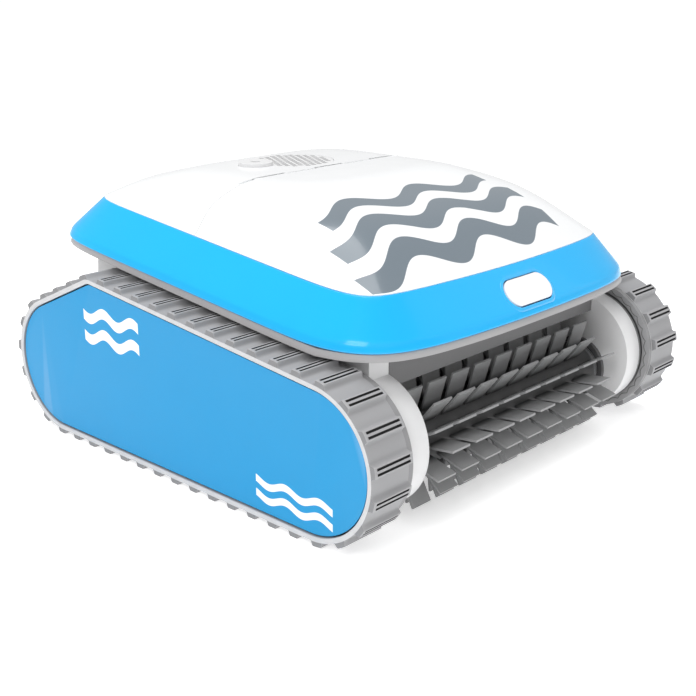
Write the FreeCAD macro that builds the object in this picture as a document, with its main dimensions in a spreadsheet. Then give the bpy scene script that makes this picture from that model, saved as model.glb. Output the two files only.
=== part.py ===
import FreeCAD, Part
import math
import os

from FreeCAD import Placement, Rotation, Vector

DOC = FreeCAD.newDocument("pool_cleaner")
SHEET = DOC.addObject("Spreadsheet::Sheet", "Sizes")

# Driving dimensions in millimetres (angles in degrees, slopes in mm per mm).
SIZES = {
    # tracks
    "wheel_base": 280.6, "lug_tip_radius": 58.5, "lug_height": 3.8, "band_thickness": 3.5,
    "belt_inner_x": 155.5, "belt_width": 36.0, "lug_count": 43, "lug_phase": 0.70, "lug_top_width": 6.6,
    "lug_base_width": 11.4, "lug_groove_width": 1.0, "lug_groove_depth": 0.9, "lug_groove_pitch": 3.0,
    "idler_ahead_of_rear": 48.9, "idler_rise": 65.0, "idler_band_radius": 15.0,
    "cover_gap": 4.7, "cover_thickness": 3.5, "cover_outer_x": 190.0,
    "wheel_gap": 0.5, "wheel_width": 27.0, "wheel_rim": 4.0, "wheel_web": 4.0, "hub_radius": 12.0,
    "axle_radius": 5.0, "idler_axle_radius": 3.0, "running_gap": 0.05, "body_gap": 0.5,
    # side frames
    "frame_inner_x": 127.0, "frame_outer_x": 149.0, "frame_gap": 6.6, "frame_wall": 2.5,
    "post_radius": 5.0, "screw_radius": 1.5, "screw_head_radius": 3.0, "screw_head_height": 2.0,
    "rail_thickness": 4.7, "rail_half_length": 84.0,
    # hull
    "tub_front_y": -84.0, "tub_rear_y": 165.0, "tub_floor_z": 24.0, "tub_wall": 3.0,
    "plate_thickness": 3.0, "inlet_x": 50.0, "inlet_y": -30.0, "inlet_length": 60.0,
    "inlet_width": 24.0, "inlet_wall": 2.0, "inlet_height": 26.0, "flap_thickness": 2.0,
    # brush
    "brush_y": -143.3, "brush_z": 46.0, "brush_tip_radius": 45.4, "brush_core_radius": 20.0,
    "brush_sleeve": 2.0, "brush_half_length": 116.0, "flap_rows": 16, "flap_pitch": 26.3,
    "flap_width": 19.3, "blade_thickness": 1.6, "first_row_angle": 16.0,
    "shroud_gap": 4.6, "shroud_wall": 3.0, "shroud_front_y": -152.5,
    "hub_plate_radius": 25.0, "hub_plate_thickness": 3.5, "brush_pin_radius": 5.0,
    # lid: lower edge, flat in front and sloping up to the rear, and colour border
    "edge_z": 140.5, "edge_flat_z": 126.4, "edge_slope": 0.1135, "border_z": 173.4,
    "border_slope": 0.1, "lid_wall": 2.6, "seam_gap": 0.6,
    "lid_half_width": 169.0, "lid_front_y": -186.5, "lid_rear_y": 174.0,
    "border_half_width": 143.7, "border_front_y": -160.0, "border_rear_y": 150.0,
    "border_power": 13.0, "rear_power": 10.0, "lid_power": 7.0, "front_bow": 10.5,
    "bulge": 4.4, "bulge_share": 0.3, "skirt_share": -0.6,
    "crown_z": 209.5, "rim_height": 5.2, "rim_inset": 1.5, "door_seam_y": 22.0,
    # hinge of the door
    "hinge_z": 206.2, "knuckle_radius": 3.0, "hinge_pin_radius": 1.3, "hinge_half_length": 82.0,
    "knuckle_sweep": 1.3,
    # latch
    "button_y": -174.3, "button_z": 142.0, "button_width": 52.0, "button_height": 21.2,
    "button_proud": 0.8, "button_depth": 5.0, "button_gap": 0.8, "face_angle": 47.5,
    "button_travel": 3.0, "stem_width": 16.0, "stem_height": 8.0, "stem_length": 8.0, "spring_room": 11.0,
    # pump
    "pump_y": 64.7, "outlet_radius": 34.0, "duct_wall": 3.0, "duct_length": 64.0,
    "housing_radius": 44.0, "housing_wall": 2.5, "housing_height": 92.0, "motor_radius": 26.0,
    "motor_height": 62.0, "shaft_radius": 4.0, "propeller_z": 166.0, "propeller_height": 16.0,
    "propeller_hub_radius": 9.0, "propeller_tip_gap": 2.0, "grille_thickness": 3.0,
    "gland_x": -38.0, "gland_y": 69.0, "gland_radius": 14.0, "gland_rise": 3.0, "gland_depth": 12.0,
    "cable_bore_radius": 4.0,
    # drive motors, basket and foam
    "drive_radius": 18.0, "drive_length": 58.0, "basket_half_width": 104.0, "basket_front_y": -78.0,
    "basket_rear_y": 14.0, "basket_floor_z": 33.0, "basket_wall": 2.0,
    "foam_width": 24.0, "foam_length": 150.0, "foam_height": 13.0,
}

for row, (alias, value) in enumerate(SIZES.items(), start=1):
    SHEET.set(f"A{row}", alias)
    SHEET.set(f"B{row}", str(value))
    SHEET.setAlias(f"B{row}", alias)
DOC.recompute()


def size(alias):
    """Read one driving dimension back from the sheet."""
    return float(SHEET.get(alias))


def bind(thing, prop, text):
    """Bind a property to an expression whose words are aliases of the sheet."""
    words = sorted(SIZES, key=len, reverse=True)
    out = ""
    word = ""
    for char in text + " ":
        if char.isalnum() or char == "_":
            word += char
            continue
        out += f"Sizes.{word}" if word in words else word
        word = ""
        out += char
    thing.setExpression(prop, out.strip())


def place(thing, x="0", y="0", z="0"):
    """Bind an object's position to expressions."""
    for axis, text in zip("xyz", (x, y, z)):
        bind(thing, f".Placement.Base.{axis}", text)


AXIS_TURN = {
    "+Z": Rotation(),
    "+X": Rotation(Vector(0, 1, 0), 90),
    "-X": Rotation(Vector(0, 1, 0), -90),
}


def rod(name, radius, length, at, axis="+Z"):
    """A cylinder of bound size that starts at a bound position and runs along an axis."""
    thing = DOC.addObject("Part::Cylinder", name)
    bind(thing, "Radius", radius)
    bind(thing, "Height", length)
    thing.Placement.Rotation = AXIS_TURN[axis]
    place(thing, *at)
    return thing


def join(name, things):
    """One solid from several touching ones."""
    thing = DOC.addObject("Part::MultiFuse", name)
    thing.Shapes = things
    thing.Refine = True
    return thing


def cut(name, base, *tools):
    """A base shape less one or more tools."""
    tool = tools[0] if len(tools) == 1 else join(name + "_tools", list(tools))
    thing = DOC.addObject("Part::Cut", name)
    thing.Base = base
    thing.Tool = tool
    return thing


def fixed_shape(name, shape, placement=Placement()):
    """A feature that holds a computed shape."""
    thing = DOC.addObject("Part::Feature", name)
    thing.Shape = shape
    thing.Placement = placement
    return thing


NODES = []


def node(name, thing):
    """Name a sub-part and list it for export."""
    thing.Label = name
    NODES.append(thing)
    return thing


# ---------------------------------------------------------------- track outline
# Derived positions, with the origin under the middle of the two ground runs.
AXLE_Y = size("wheel_base") / 2
AXLE_Z = size("lug_tip_radius")
IDLER_Y = AXLE_Y - size("idler_ahead_of_rear")
IDLER_Z = AXLE_Z + size("idler_rise")
BAND_RADIUS = size("lug_tip_radius") - size("lug_height")
AXLE_AT = "lug_tip_radius"
FRONT_AT = "0 - wheel_base / 2"
REAR_AT = "wheel_base / 2"
IDLER_AT = ("wheel_base / 2 - idler_ahead_of_rear", "lug_tip_radius + idler_rise")


def track_circles(inset):
    """Centre and radius of the three wheels' wraps, inset from the belt band's outer face."""
    return [
        (-AXLE_Y, AXLE_Z, BAND_RADIUS - inset),
        (AXLE_Y, AXLE_Z, BAND_RADIUS - inset),
        (IDLER_Y, IDLER_Z, size("idler_band_radius") - inset),
    ]


def track_runs(inset):
    """The closed outline as (kind, data) pieces: straight runs and wraps, anticlockwise."""
    circles = track_circles(inset)
    runs = []
    for index, (y0, z0, r0) in enumerate(circles):
        y1, z1, r1 = circles[(index + 1) % 3]
        span = math.hypot(y1 - y0, z1 - z0)
        heading = math.atan2(z1 - z0, y1 - y0)
        normal = heading - math.pi / 2 + math.asin((r0 - r1) / span)
        start = (y0 + r0 * math.cos(normal), z0 + r0 * math.sin(normal))
        end = (y1 + r1 * math.cos(normal), z1 + r1 * math.sin(normal))
        runs.append((start, end, normal))
    pieces = []
    for index, (start, end, normal) in enumerate(runs):
        y1, z1, r1 = circles[(index + 1) % 3]
        after = runs[(index + 1) % 3][2]
        turn = (after - normal) % (2 * math.pi)
        pieces.append(("run", (start, end, normal)))
        pieces.append(("wrap", (y1, z1, r1, normal, turn)))
    return pieces


def track_face(inset, x):
    """The filled outline as a face in the plane at x."""
    edges = []
    for kind, data in track_runs(inset):
        if kind == "run":
            (y0, z0), (y1, z1), _ = data
            edges.append(Part.LineSegment(Vector(x, y0, z0), Vector(x, y1, z1)).toShape())
            continue
        y, z, radius, start, turn = data
        points = []
        for share in (0, 0.5, 1):
            angle = start + share * turn
            points.append(Vector(x, y + radius * math.cos(angle), z + radius * math.sin(angle)))
        edges.append(Part.Arc(*points).toShape())
    return Part.Face(Part.Wire(edges))


def track_slab(inset, x0, x1):
    """The filled outline as a slab between two x planes."""
    return track_face(inset, min(x0, x1)).extrude(Vector(abs(x1 - x0), 0, 0))


def belt_shape(side):
    """A band around the outline with grooved lugs, evenly spaced along its inner face."""
    inner = side * size("belt_inner_x")
    outer = side * (size("belt_inner_x") + size("belt_width"))
    low = min(inner, outer)
    width = size("belt_width")
    band = track_slab(0, inner, outer).cut(track_slab(size("band_thickness"), inner, outer))
    pieces = track_runs(0)
    lengths = []
    for kind, data in pieces:
        if kind == "run":
            lengths.append(math.dist(data[0], data[1]))
        else:
            lengths.append((data[2] - size("band_thickness")) * data[4])
    pitch = sum(lengths) / size("lug_count")
    top = size("lug_top_width") / 2
    base = size("lug_base_width") / 2
    rise = size("lug_height")
    flank = (top + base) / 2 - 0.6
    groove = size("lug_groove_width") / 2
    spacing = size("lug_groove_pitch") / 2
    floor = rise - size("lug_groove_depth")
    outline = [(-base, -1.5), (base, -1.5), (base, 0), (flank, 0.3 * rise), (top, rise)]
    for centre in (spacing, -spacing):
        outline += [(centre + groove, rise), (centre + groove, floor)]
        outline += [(centre - groove, floor), (centre - groove, rise)]
    outline += [(-top, rise), (-flank, 0.3 * rise), (-base, 0), (-base, -1.5)]
    lug = Part.Face(Part.makePolygon([Vector(low, y, z) for y, z in outline]))
    lug = lug.extrude(Vector(width, 0, 0))
    lugs = []
    for index in range(int(size("lug_count"))):
        travel = (index + size("lug_phase")) * pitch
        for (kind, data), length in zip(pieces, lengths):
            if travel <= length:
                break
            travel -= length
        if kind == "run":
            (y0, z0), (y1, z1), normal = data
            share = travel / length
            y = y0 + share * (y1 - y0)
            z = z0 + share * (z1 - z0)
        else:
            y, z, radius, start, turn = data
            normal = start + travel / (radius - size("band_thickness"))
            y += radius * math.cos(normal)
            z += radius * math.sin(normal)
        copy = lug.copy()
        copy.rotate(Vector(0, 0, 0), Vector(1, 0, 0), math.degrees(normal) - 90)
        copy.translate(Vector(0, y, z))
        lugs.append(copy)
    return band.fuse(lugs).removeSplitter()


# ---------------------------------------------------------------- lid surfaces
def oval(half_width, front, rear, z, slope, powers):
    """A closed smooth outline in a plane that rises along Y: a squared oval, bowed in front."""
    rear_power, front_power = powers
    middle = (front + rear) / 2
    half = (rear - front) / 2
    steps = 12
    edges = []
    for quarter in range(4):
        points = []
        power = rear_power if quarter < 2 else front_power
        for step in range(steps + 1):
            angle = math.radians(90 * (quarter + step / steps))
            cosine = round(math.cos(angle), 9)
            sine = round(math.sin(angle), 9)
            across = math.copysign(abs(cosine) ** (2 / power), cosine)
            along = math.copysign(abs(sine) ** (2 / power), sine)
            x = half_width * across
            y = middle + half * along
            if sine < 0:
                y -= size("front_bow") * across ** 2 * along
            points.append(Vector(x, y, z + slope * y))
        turn = math.radians(90 * quarter)
        begin = Vector(-math.sin(turn), math.cos(turn), slope * math.cos(turn))
        end = Vector(-math.cos(turn), -math.sin(turn), -slope * math.sin(turn))
        curve = Part.BSplineCurve()
        curve.interpolate(Points=points, InitialTangent=begin, FinalTangent=end)
        edges.append(curve.toShape())
    return Part.Wire(edges)


def band_solid(inset):
    """The band's solid: a skirt below the lower edge, a bulge above it, and a slope up to the border."""
    lean = size("bulge_share") * (size("lid_half_width") - size("border_half_width")) - size("bulge")
    skirt_inset = size("skirt_share") * (size("lid_half_width") - size("border_half_width"))
    skirt_inset -= size("skirt_share") / size("bulge_share") * lean
    levels = (
        (size("skirt_share"), skirt_inset, size("lid_power")),
        (size("bulge_share"), size("bulge"), size("lid_power")),
        (1, 0, size("border_power")),
    )
    wires = []
    for share, outward, power in levels:
        half = size("lid_half_width") + share * (size("border_half_width") - size("lid_half_width"))
        front = size("lid_front_y") + share * (size("border_front_y") - size("lid_front_y"))
        rear = size("lid_rear_y") + share * (size("border_rear_y") - size("lid_rear_y"))
        z = size("edge_z") + share * (size("border_z") - size("edge_z"))
        grow = outward - inset
        powers = (size("rear_power"), power)
        wires.append(oval(half + grow, front - grow, rear + grow, z, size("border_slope"), powers))
    return Part.makeLoft(wires, True, True)


def dome_solid(inset):
    """The raised white crown's solid above the border, closed by a flat top."""
    half = size("border_half_width")
    front = size("border_front_y")
    rear = size("border_rear_y")
    border = size("border_z")
    crown = size("crown_z")
    slope = size("border_slope")
    sections = [
        (half, front, rear, border, slope, (size("rear_power"), size("border_power"))),
        (half - 17.7, front + 44.7, rear - 12, (border + crown) / 2 + 2, slope / 2, (6, 6)),
        (half - 40.7, front + 99.7, rear - 28, crown - 5, 0.01, (5, 5)),
        (half - 59.7, front + 121.7, rear - 42, crown - 1, 0, (4.5, 4.5)),
        (half - 87.7, front + 145.7, rear - 64, crown, 0, (4, 4)),
    ]
    wires = [
        oval(a - inset, y0 + inset, y1 - inset, z - inset, tilt, powers)
        for a, y0, y1, z, tilt, powers in sections
    ]
    return Part.makeLoft(wires, True, True)


def edge_line(offset):
    """The lid's lower edge, front to rear: flat in front, then sloping up."""
    slope = size("edge_slope")
    knee = (size("edge_flat_z") - size("edge_z")) / slope
    flat = size("edge_flat_z") + offset
    return [(-260, flat), (knee, flat), (260, size("edge_z") + 260 * slope + offset)]


def border_line(offset):
    """The colour border, a straight line that slopes up to the rear."""
    slope = size("border_slope")
    return [(y, size("border_z") + slope * y + offset) for y in (-260, 260)]


def slice_between(low, high, reach=220):
    """A prism across X between two level lines."""
    points = [Vector(-reach, y, z) for y, z in low + high[::-1]]
    points.append(points[0])
    return Part.Face(Part.makePolygon(points)).extrude(Vector(2 * reach, 0, 0))


def block(x0, x1, y0, y1, z0, z1):
    """A plain box between two corners."""
    return Part.makeBox(x1 - x0, y1 - y0, z1 - z0, Vector(x0, y0, z0))


def edge_height(y, offset=0):
    """Height of the lid's lower edge at y, on the sloping stretch."""
    return size("edge_z") + size("edge_slope") * y + offset


def profile_x(points, x0, x1):
    """A prism along X from a closed outline in the YZ plane."""
    corners = [Vector(x0, y, z) for y, z in points]
    corners.append(corners[0])
    return Part.Face(Part.makePolygon(corners)).extrude(Vector(x1 - x0, 0, 0))


def tube_x(y, z, radius, x0, x1):
    return Part.makeCylinder(radius, x1 - x0, Vector(x0, y, z), Vector(1, 0, 0))


# ---------------------------------------------------------------- hinge and latch helpers
SEAM_Y = size("door_seam_y")
HINGE_Z = size("hinge_z")
KNUCKLES = 5
KNUCKLE_PITCH = 2 * size("hinge_half_length") / KNUCKLES


def knuckle_spans(first, gap):
    """x spans of every second knuckle, starting with the first or the second."""
    spans = []
    for index in range(first, KNUCKLES, 2):
        low = -size("hinge_half_length") + index * KNUCKLE_PITCH
        spans.append((low + gap, low + KNUCKLE_PITCH - gap))
    return spans


def knuckles(spans, radius):
    return [tube_x(SEAM_Y, HINGE_Z, radius, x0, x1) for x0, x1 in spans]


FACE_TURN = Rotation(Vector(1, 0, 0), size("face_angle"))
FACE_PLACE = Placement(Vector(0, size("button_y"), size("button_z")), FACE_TURN)


def button_face(grow, z):
    """The latch button's outline: flat top and bottom, bulged ends."""
    width = size("button_width") / 2 + grow
    height = size("button_height") / 2 + grow
    flat = width - 9
    bulge = width - 2.5
    top = Part.LineSegment(Vector(flat, height, z), Vector(-flat, height, z)).toShape()
    left = Part.Arc(Vector(-flat, height, z), Vector(-width, 0, z), Vector(-flat, -height, z)).toShape()
    bottom = Part.LineSegment(Vector(-flat, -height, z), Vector(flat, -height, z)).toShape()
    right = Part.Arc(Vector(flat, -height, z), Vector(width, 0, z), Vector(flat, height, z)).toShape()
    return Part.Face(Part.Wire([top, left, bottom, right]))


def on_face(shape):
    """Carry a shape from the button's own frame to the sloping front face."""
    shape.Placement = FACE_PLACE
    return shape


# ---------------------------------------------------------------- lid shells
WALL = size("lid_wall")
HALF_SEAM = size("seam_gap") / 2


def make_top_frame():
    shell = band_solid(0).cut(band_solid(WALL))
    frame = shell.common(slice_between(edge_line(0), border_line(-HALF_SEAM)))
    depth = 20
    hole = on_face(button_face(size("button_gap"), -depth).extrude(Vector(0, 0, 2 * depth)))
    ledge = band_solid(WALL).cut(band_solid(WALL + 9))
    ledge = ledge.common(slice_between(edge_line(0), edge_line(WALL)))
    keeper_hole = block(-20, 20, -190, -150, 100, 150)
    return frame.fuse(ledge.cut(keeper_hole)).cut(hole)


def make_crown():
    below = slice_between([(-260, 80), (260, 80)], border_line(HALF_SEAM))
    core = dome_solid(WALL)
    return dome_solid(0).cut([core, below])


CROWN = make_crown()
OUTLET = (0, size("pump_y"))
GLAND = (size("gland_x"), size("gland_y"))


def make_front_door():
    door = CROWN.common(block(-200, 200, -260, SEAM_Y - HALF_SEAM, 100, 260))
    own = knuckle_spans(0, 0.2)
    other = knuckle_spans(1, -0.2)
    sweep = size("knuckle_radius") + size("knuckle_sweep")
    door = door.cut(knuckles(other, sweep))
    door = door.fuse(knuckles(own, size("knuckle_radius")))
    bore = size("hinge_pin_radius") + size("running_gap")
    return door.cut(knuckles([(-120, 120)], bore))


def make_rear_cover():
    cover = CROWN.common(block(-200, 200, SEAM_Y + HALF_SEAM, 260, 100, 260))
    own = knuckle_spans(1, 0.2)
    other = knuckle_spans(0, -0.2)
    sweep = size("knuckle_radius") + size("knuckle_sweep")
    cover = cover.cut(knuckles(other, sweep))
    cover = cover.fuse(knuckles(own, size("knuckle_radius")))
    half = size("hinge_half_length")
    above = block(-200, 200, SEAM_Y, SEAM_Y + 20, HINGE_Z, HINGE_Z + 20)
    beyond = knuckles([(-120, -half), (half, 120)], sweep)
    cover = cover.cut([relief.common(above) for relief in beyond])
    cover = cover.cut(knuckles([(-120, 120)], size("hinge_pin_radius")))
    hole = size("outlet_radius") + 0.2
    cover = cover.cut(Part.makeCylinder(hole, 40, Vector(*OUTLET, 190)))
    return cover.cut(Part.makeCylinder(size("gland_radius"), 40, Vector(*GLAND, 190)))


def make_hull_rim():
    """Light rim under the band with the deck that closes the hull around the filter chamber."""
    low = edge_line(-size("rim_height"))
    high = edge_line(-0.4)
    rim = band_solid(size("rim_inset")).common(slice_between(low, high))
    deck_top = edge_line(-size("rim_height") + size("plate_thickness"))
    hollow = band_solid(size("rim_inset") + 3).common(slice_between(deck_top, edge_line(5)))
    chamber = block(-CHAMBER_X, CHAMBER_X, size("tub_front_y") + 8, CHAMBER_REAR, 80, 180)
    return rim.cut(hollow).cut(chamber)


CHAMBER_X = size("basket_half_width") + 4
CHAMBER_REAR = size("pump_y") + size("housing_radius") + 6

node("top_frame", fixed_shape("TopFrame", make_top_frame()))
node("front_door", fixed_shape("FrontDoor", make_front_door()))
node("rear_cover", fixed_shape("RearCover", make_rear_cover()))
node("hull_rim", fixed_shape("HullRim", make_hull_rim()))
HINGE_LENGTH = "2 * hinge_half_length - 0.4"
node("hinge_pin", rod("HingePin", "hinge_pin_radius", HINGE_LENGTH,
                      ("0.2 - hinge_half_length", "door_seam_y", "hinge_z"), "+X"))


# ---------------------------------------------------------------- hull
TUB_X = size("frame_inner_x") - size("body_gap")


def rim_under(y):
    """Height of the deck's underside."""
    return edge_height(y, -size("rim_height"))


def tub_outline(inset, floor):
    front = size("tub_front_y") + inset
    rear = size("tub_rear_y") - inset
    return [(front, floor), (rear - 22, floor), (rear, floor + 26), (rear, rim_under(rear)),
            (front, rim_under(front))]


def inlet_block(side, grow, z0, z1):
    """A box on one suction inlet, larger all round by grow."""
    x = side * size("inlet_x")
    half = size("inlet_length") / 2 + grow
    depth = size("inlet_width") / 2 + grow
    y = size("inlet_y")
    return block(x - half, x + half, y - depth, y + depth, z0, z1)


SIDES = {"left": -1, "right": 1}


def make_hull_tub():
    floor = size("tub_floor_z")
    wall = size("tub_wall")
    tub = profile_x(tub_outline(0, floor), -TUB_X, TUB_X)
    inside = profile_x(tub_outline(wall, floor + wall), -TUB_X + wall, TUB_X - wall)
    inside = inside.fuse(block(-TUB_X + wall, TUB_X - wall, size("tub_front_y") + wall,
                               size("tub_rear_y") - wall, 110, 180))
    tub = tub.cut(inside)
    for side in SIDES.values():
        tub = tub.cut(inlet_block(side, size("inlet_wall") + 0.3, floor - 1, floor + wall + 1))
        tub = tub.cut(tube_x(AXLE_Y, AXLE_Z, size("axle_radius") + 0.5, -200, 200))
    for x, y in SCREW_SPOTS:
        tub = tub.fuse(Part.makeCylinder(5, 8, Vector(x, y, floor + wall)))
        tub = tub.cut(Part.makeCylinder(size("screw_radius"), 9, Vector(x, y, floor - 1)))
    return tub


SCREW_SPOTS = [(x, y) for y in (-60, 20, 125) for x in (-112, 112)]


def flap_ears(side):
    """Two ears behind a suction duct that hold its flap's pins."""
    top = size("tub_floor_z") + size("inlet_height")
    thick = size("flap_thickness")
    x = side * size("inlet_x")
    half = size("inlet_length") / 2 + size("inlet_wall")
    depth = size("inlet_width") / 2 + size("inlet_wall")
    y = size("inlet_y")
    pivot = top + 0.3 + thick / 2 + 0.6
    ears = []
    for end in (-1, 1):
        near = x + end * (half - 2.4)
        far = x + end * (half + 2)
        ears.append(block(min(near, far), max(near, far), y + depth, y + depth + 6, top - 8, pivot + 4))
    strip = block(x - half - 2, x + half + 2, y + depth, y + depth + 3, top - 8, top - 4)
    body = strip.fuse(ears)
    return body.cut(tube_x(y + depth + 3, pivot, 1.6 + size("running_gap"), x - half - 5, x + half + 5))


def make_bottom_plate():
    """Skid plate under the tub with two suction mouths and their short ducts."""
    top = size("tub_floor_z")
    low = top - size("plate_thickness")
    wall = size("inlet_wall")
    plate = block(-TUB_X, TUB_X, size("tub_front_y"), size("tub_rear_y") - 24, low, top)
    for side in SIDES.values():
        duct = inlet_block(side, wall, low, top + size("inlet_height"))
        plate = plate.fuse(duct)
        plate = plate.fuse(flap_ears(side))
        plate = plate.cut(inlet_block(side, 0, low - 1, top + size("inlet_height") + 1))
    for x, y in SCREW_SPOTS:
        plate = plate.cut(Part.makeCylinder(size("screw_radius"), 9, Vector(x, y, low - 1)))
    return plate


def make_bottom_screws():
    low = size("tub_floor_z") - size("plate_thickness")
    screws = []
    for x, y in SCREW_SPOTS:
        shank = Part.makeCylinder(size("screw_radius"), 8, Vector(x, y, low))
        head = Part.makeCylinder(size("screw_head_radius"), size("screw_head_height"),
                                 Vector(x, y, low - size("screw_head_height")))
        screws.append(shank.fuse(head).removeSplitter())
    return Part.makeCompound(screws)


def make_brush_shroud():
    """Curved hood behind the brush with an upright front panel that meets the rim."""
    y = size("brush_y")
    z = size("brush_z")
    front = size("shroud_front_y")
    wall = size("shroud_wall")
    inner = size("brush_tip_radius") + size("shroud_gap")
    outer = inner + wall
    low = math.radians(-38)
    high = math.acos((front - y) / inner)
    outer_high = math.acos((front + wall - y) / outer)

    def at(radius, angle):
        return Vector(-TUB_X, y + radius * math.cos(angle), z + radius * math.sin(angle))

    middle = (low + high) / 2
    lip = Vector(-TUB_X, front, size("edge_flat_z") - size("rim_height"))
    back = lip + Vector(0, wall, 0)
    edges = [
        Part.Arc(at(inner, low), at(inner, middle), at(inner, high)).toShape(),
        Part.LineSegment(at(inner, high), lip).toShape(),
        Part.LineSegment(lip, back).toShape(),
        Part.LineSegment(back, at(outer, outer_high)).toShape(),
        Part.Arc(at(outer, outer_high), at(outer, middle), at(outer, low)).toShape(),
        Part.LineSegment(at(outer, low), at(inner, low)).toShape(),
    ]
    return Part.Face(Part.Wire(edges)).extrude(Vector(2 * TUB_X, 0, 0))


node("hull_tub", fixed_shape("HullTub", make_hull_tub()))
node("bottom_plate", fixed_shape("BottomPlate", make_bottom_plate()))
node("bottom_screws", fixed_shape("BottomScrews", make_bottom_screws()))
node("brush_shroud", fixed_shape("BrushShroud", make_brush_shroud()))


# ---------------------------------------------------------------- side frames, covers and belts
POST_SPOTS = [(-70, 40), (70, 40), (-66, 84), (34, 92)]


def make_side_frame(side):
    """Cup-shaped side housing whose top grows into a shoulder under the rim."""
    inner = side * size("frame_inner_x")
    outer = side * (size("frame_outer_x") - size("frame_wall"))
    wall = size("frame_wall")
    slab = track_slab(size("frame_gap"), inner, outer)
    low = min(inner, outer)
    high = max(inner, outer)
    front = size("shroud_front_y")
    shoulder = profile_x([(front, 60), (front, size("edge_flat_z") - size("rim_height")),
                          (edge_line(0)[1][0], size("edge_flat_z") - size("rim_height")),
                          (140, rim_under(140)), (150, 60), (0, 60)],
                         low, high)
    cup = slab.fuse(shoulder)
    pocket = track_slab(size("frame_gap") + wall, inner + side * wall, outer + side)
    cup = cup.cut(pocket)
    cup = cup.cut(tube_x(AXLE_Y, AXLE_Z, size("axle_radius") + 0.5, low - 1, high + 1))
    pin = size("brush_pin_radius") + size("running_gap")
    return cup.cut(tube_x(size("brush_y"), size("brush_z"), pin, low - 1, high + 1)).removeSplitter()


def make_gearbox_cover(side):
    """Flat plate that closes the side housing and carries the axles."""
    outer = side * size("frame_outer_x")
    inner = outer - side * size("frame_wall")
    plate = track_slab(size("frame_gap"), inner, outer)
    low = min(inner, outer)
    high = max(inner, outer)
    plate = plate.cut(tube_x(AXLE_Y, AXLE_Z, size("axle_radius") + size("running_gap"),
                             low - 1, high + 1))
    for y, z in POST_SPOTS:
        plate = plate.cut(tube_x(y, z, size("screw_radius"), low - 1, high + 1))
    return plate


def make_side_cover(side):
    """Smooth outer cover inside the belt, on four posts."""
    face = side * size("cover_outer_x")
    back = face - side * size("cover_thickness")
    cover = track_slab(size("cover_gap"), back, face)
    seat = side * size("frame_outer_x")
    low = min(seat, back)
    high = max(seat, back)
    for y, z in POST_SPOTS:
        cover = cover.fuse(tube_x(y, z, size("post_radius"), low, high))
        cover = cover.cut(tube_x(y, z, size("screw_radius"), min(seat, seat + side * 12),
                                 max(seat, seat + side * 12)))
    return cover.removeSplitter()


def make_cover_screws():
    screws = []
    for side in SIDES.values():
        seat = side * (size("frame_outer_x") - size("frame_wall"))
        for y, z in POST_SPOTS:
            tip = seat + side * (12 + size("frame_wall"))
            shank = tube_x(y, z, size("screw_radius"), min(seat, tip), max(seat, tip))
            end = seat - side * size("screw_head_height")
            head = tube_x(y, z, size("screw_head_radius"), min(seat, end), max(seat, end))
            screws.append(shank.fuse(head).removeSplitter())
    return Part.makeCompound(screws)


def make_belt_rail(side):
    """Slide that the ground run of the belt rests on, with its foot on the side housing."""
    inner = side * size("frame_outer_x")
    outer = side * (size("belt_inner_x") + size("belt_width") - 6)
    reach = size("rail_half_length")
    z = AXLE_Z - BAND_RADIUS + size("band_thickness")
    bar = block(min(inner, outer), max(inner, outer), -reach, reach, z, z + size("rail_thickness"))
    foot = block(min(inner, inner + side * 4), max(inner, inner + side * 4), -reach, reach,
                 z, z + 18)
    return bar.fuse(foot).removeSplitter()


def make_wheel(name, at_y, at_z, radius, bore, side):
    """A rim, a web and a hub with a bore, all centred on the belt."""
    start = "belt_inner_x + 1.5" if side > 0 else "0 - belt_inner_x - 1.5"
    axis = "+X" if side > 0 else "-X"
    at = (start, at_y, at_z)
    web_at = (f"{start} {'+' if side > 0 else '-'} (wheel_width - wheel_web) / 2", at_y, at_z)
    tyre = cut(name + "Rim", rod(name + "Disc", radius, "wheel_width", at, axis),
               rod(name + "Hollow", f"{radius} - wheel_rim", "wheel_width", at, axis))
    web = rod(name + "Web", f"{radius} - wheel_rim / 2", "wheel_web", web_at, axis)
    hub = rod(name + "Hub", "hub_radius", "wheel_width", at, axis)
    body = join(name + "Body", [tyre, web, hub])
    return cut(name, body, rod(name + "Bore", bore, "wheel_width", at, axis))


def make_roller(name, side):
    """The small upper roller with its bore."""
    start = "belt_inner_x + 1.5" if side > 0 else "0 - belt_inner_x - 1.5"
    axis = "+X" if side > 0 else "-X"
    at = (start, *IDLER_AT)
    radius = "idler_band_radius - band_thickness - wheel_gap"
    return cut(name, rod(name + "Disc", radius, "wheel_width", at, axis),
               rod(name + "Bore", "idler_axle_radius + running_gap", "wheel_width", at, axis))


WHEEL_RADIUS = "lug_tip_radius - lug_height - band_thickness - wheel_gap"

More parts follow.
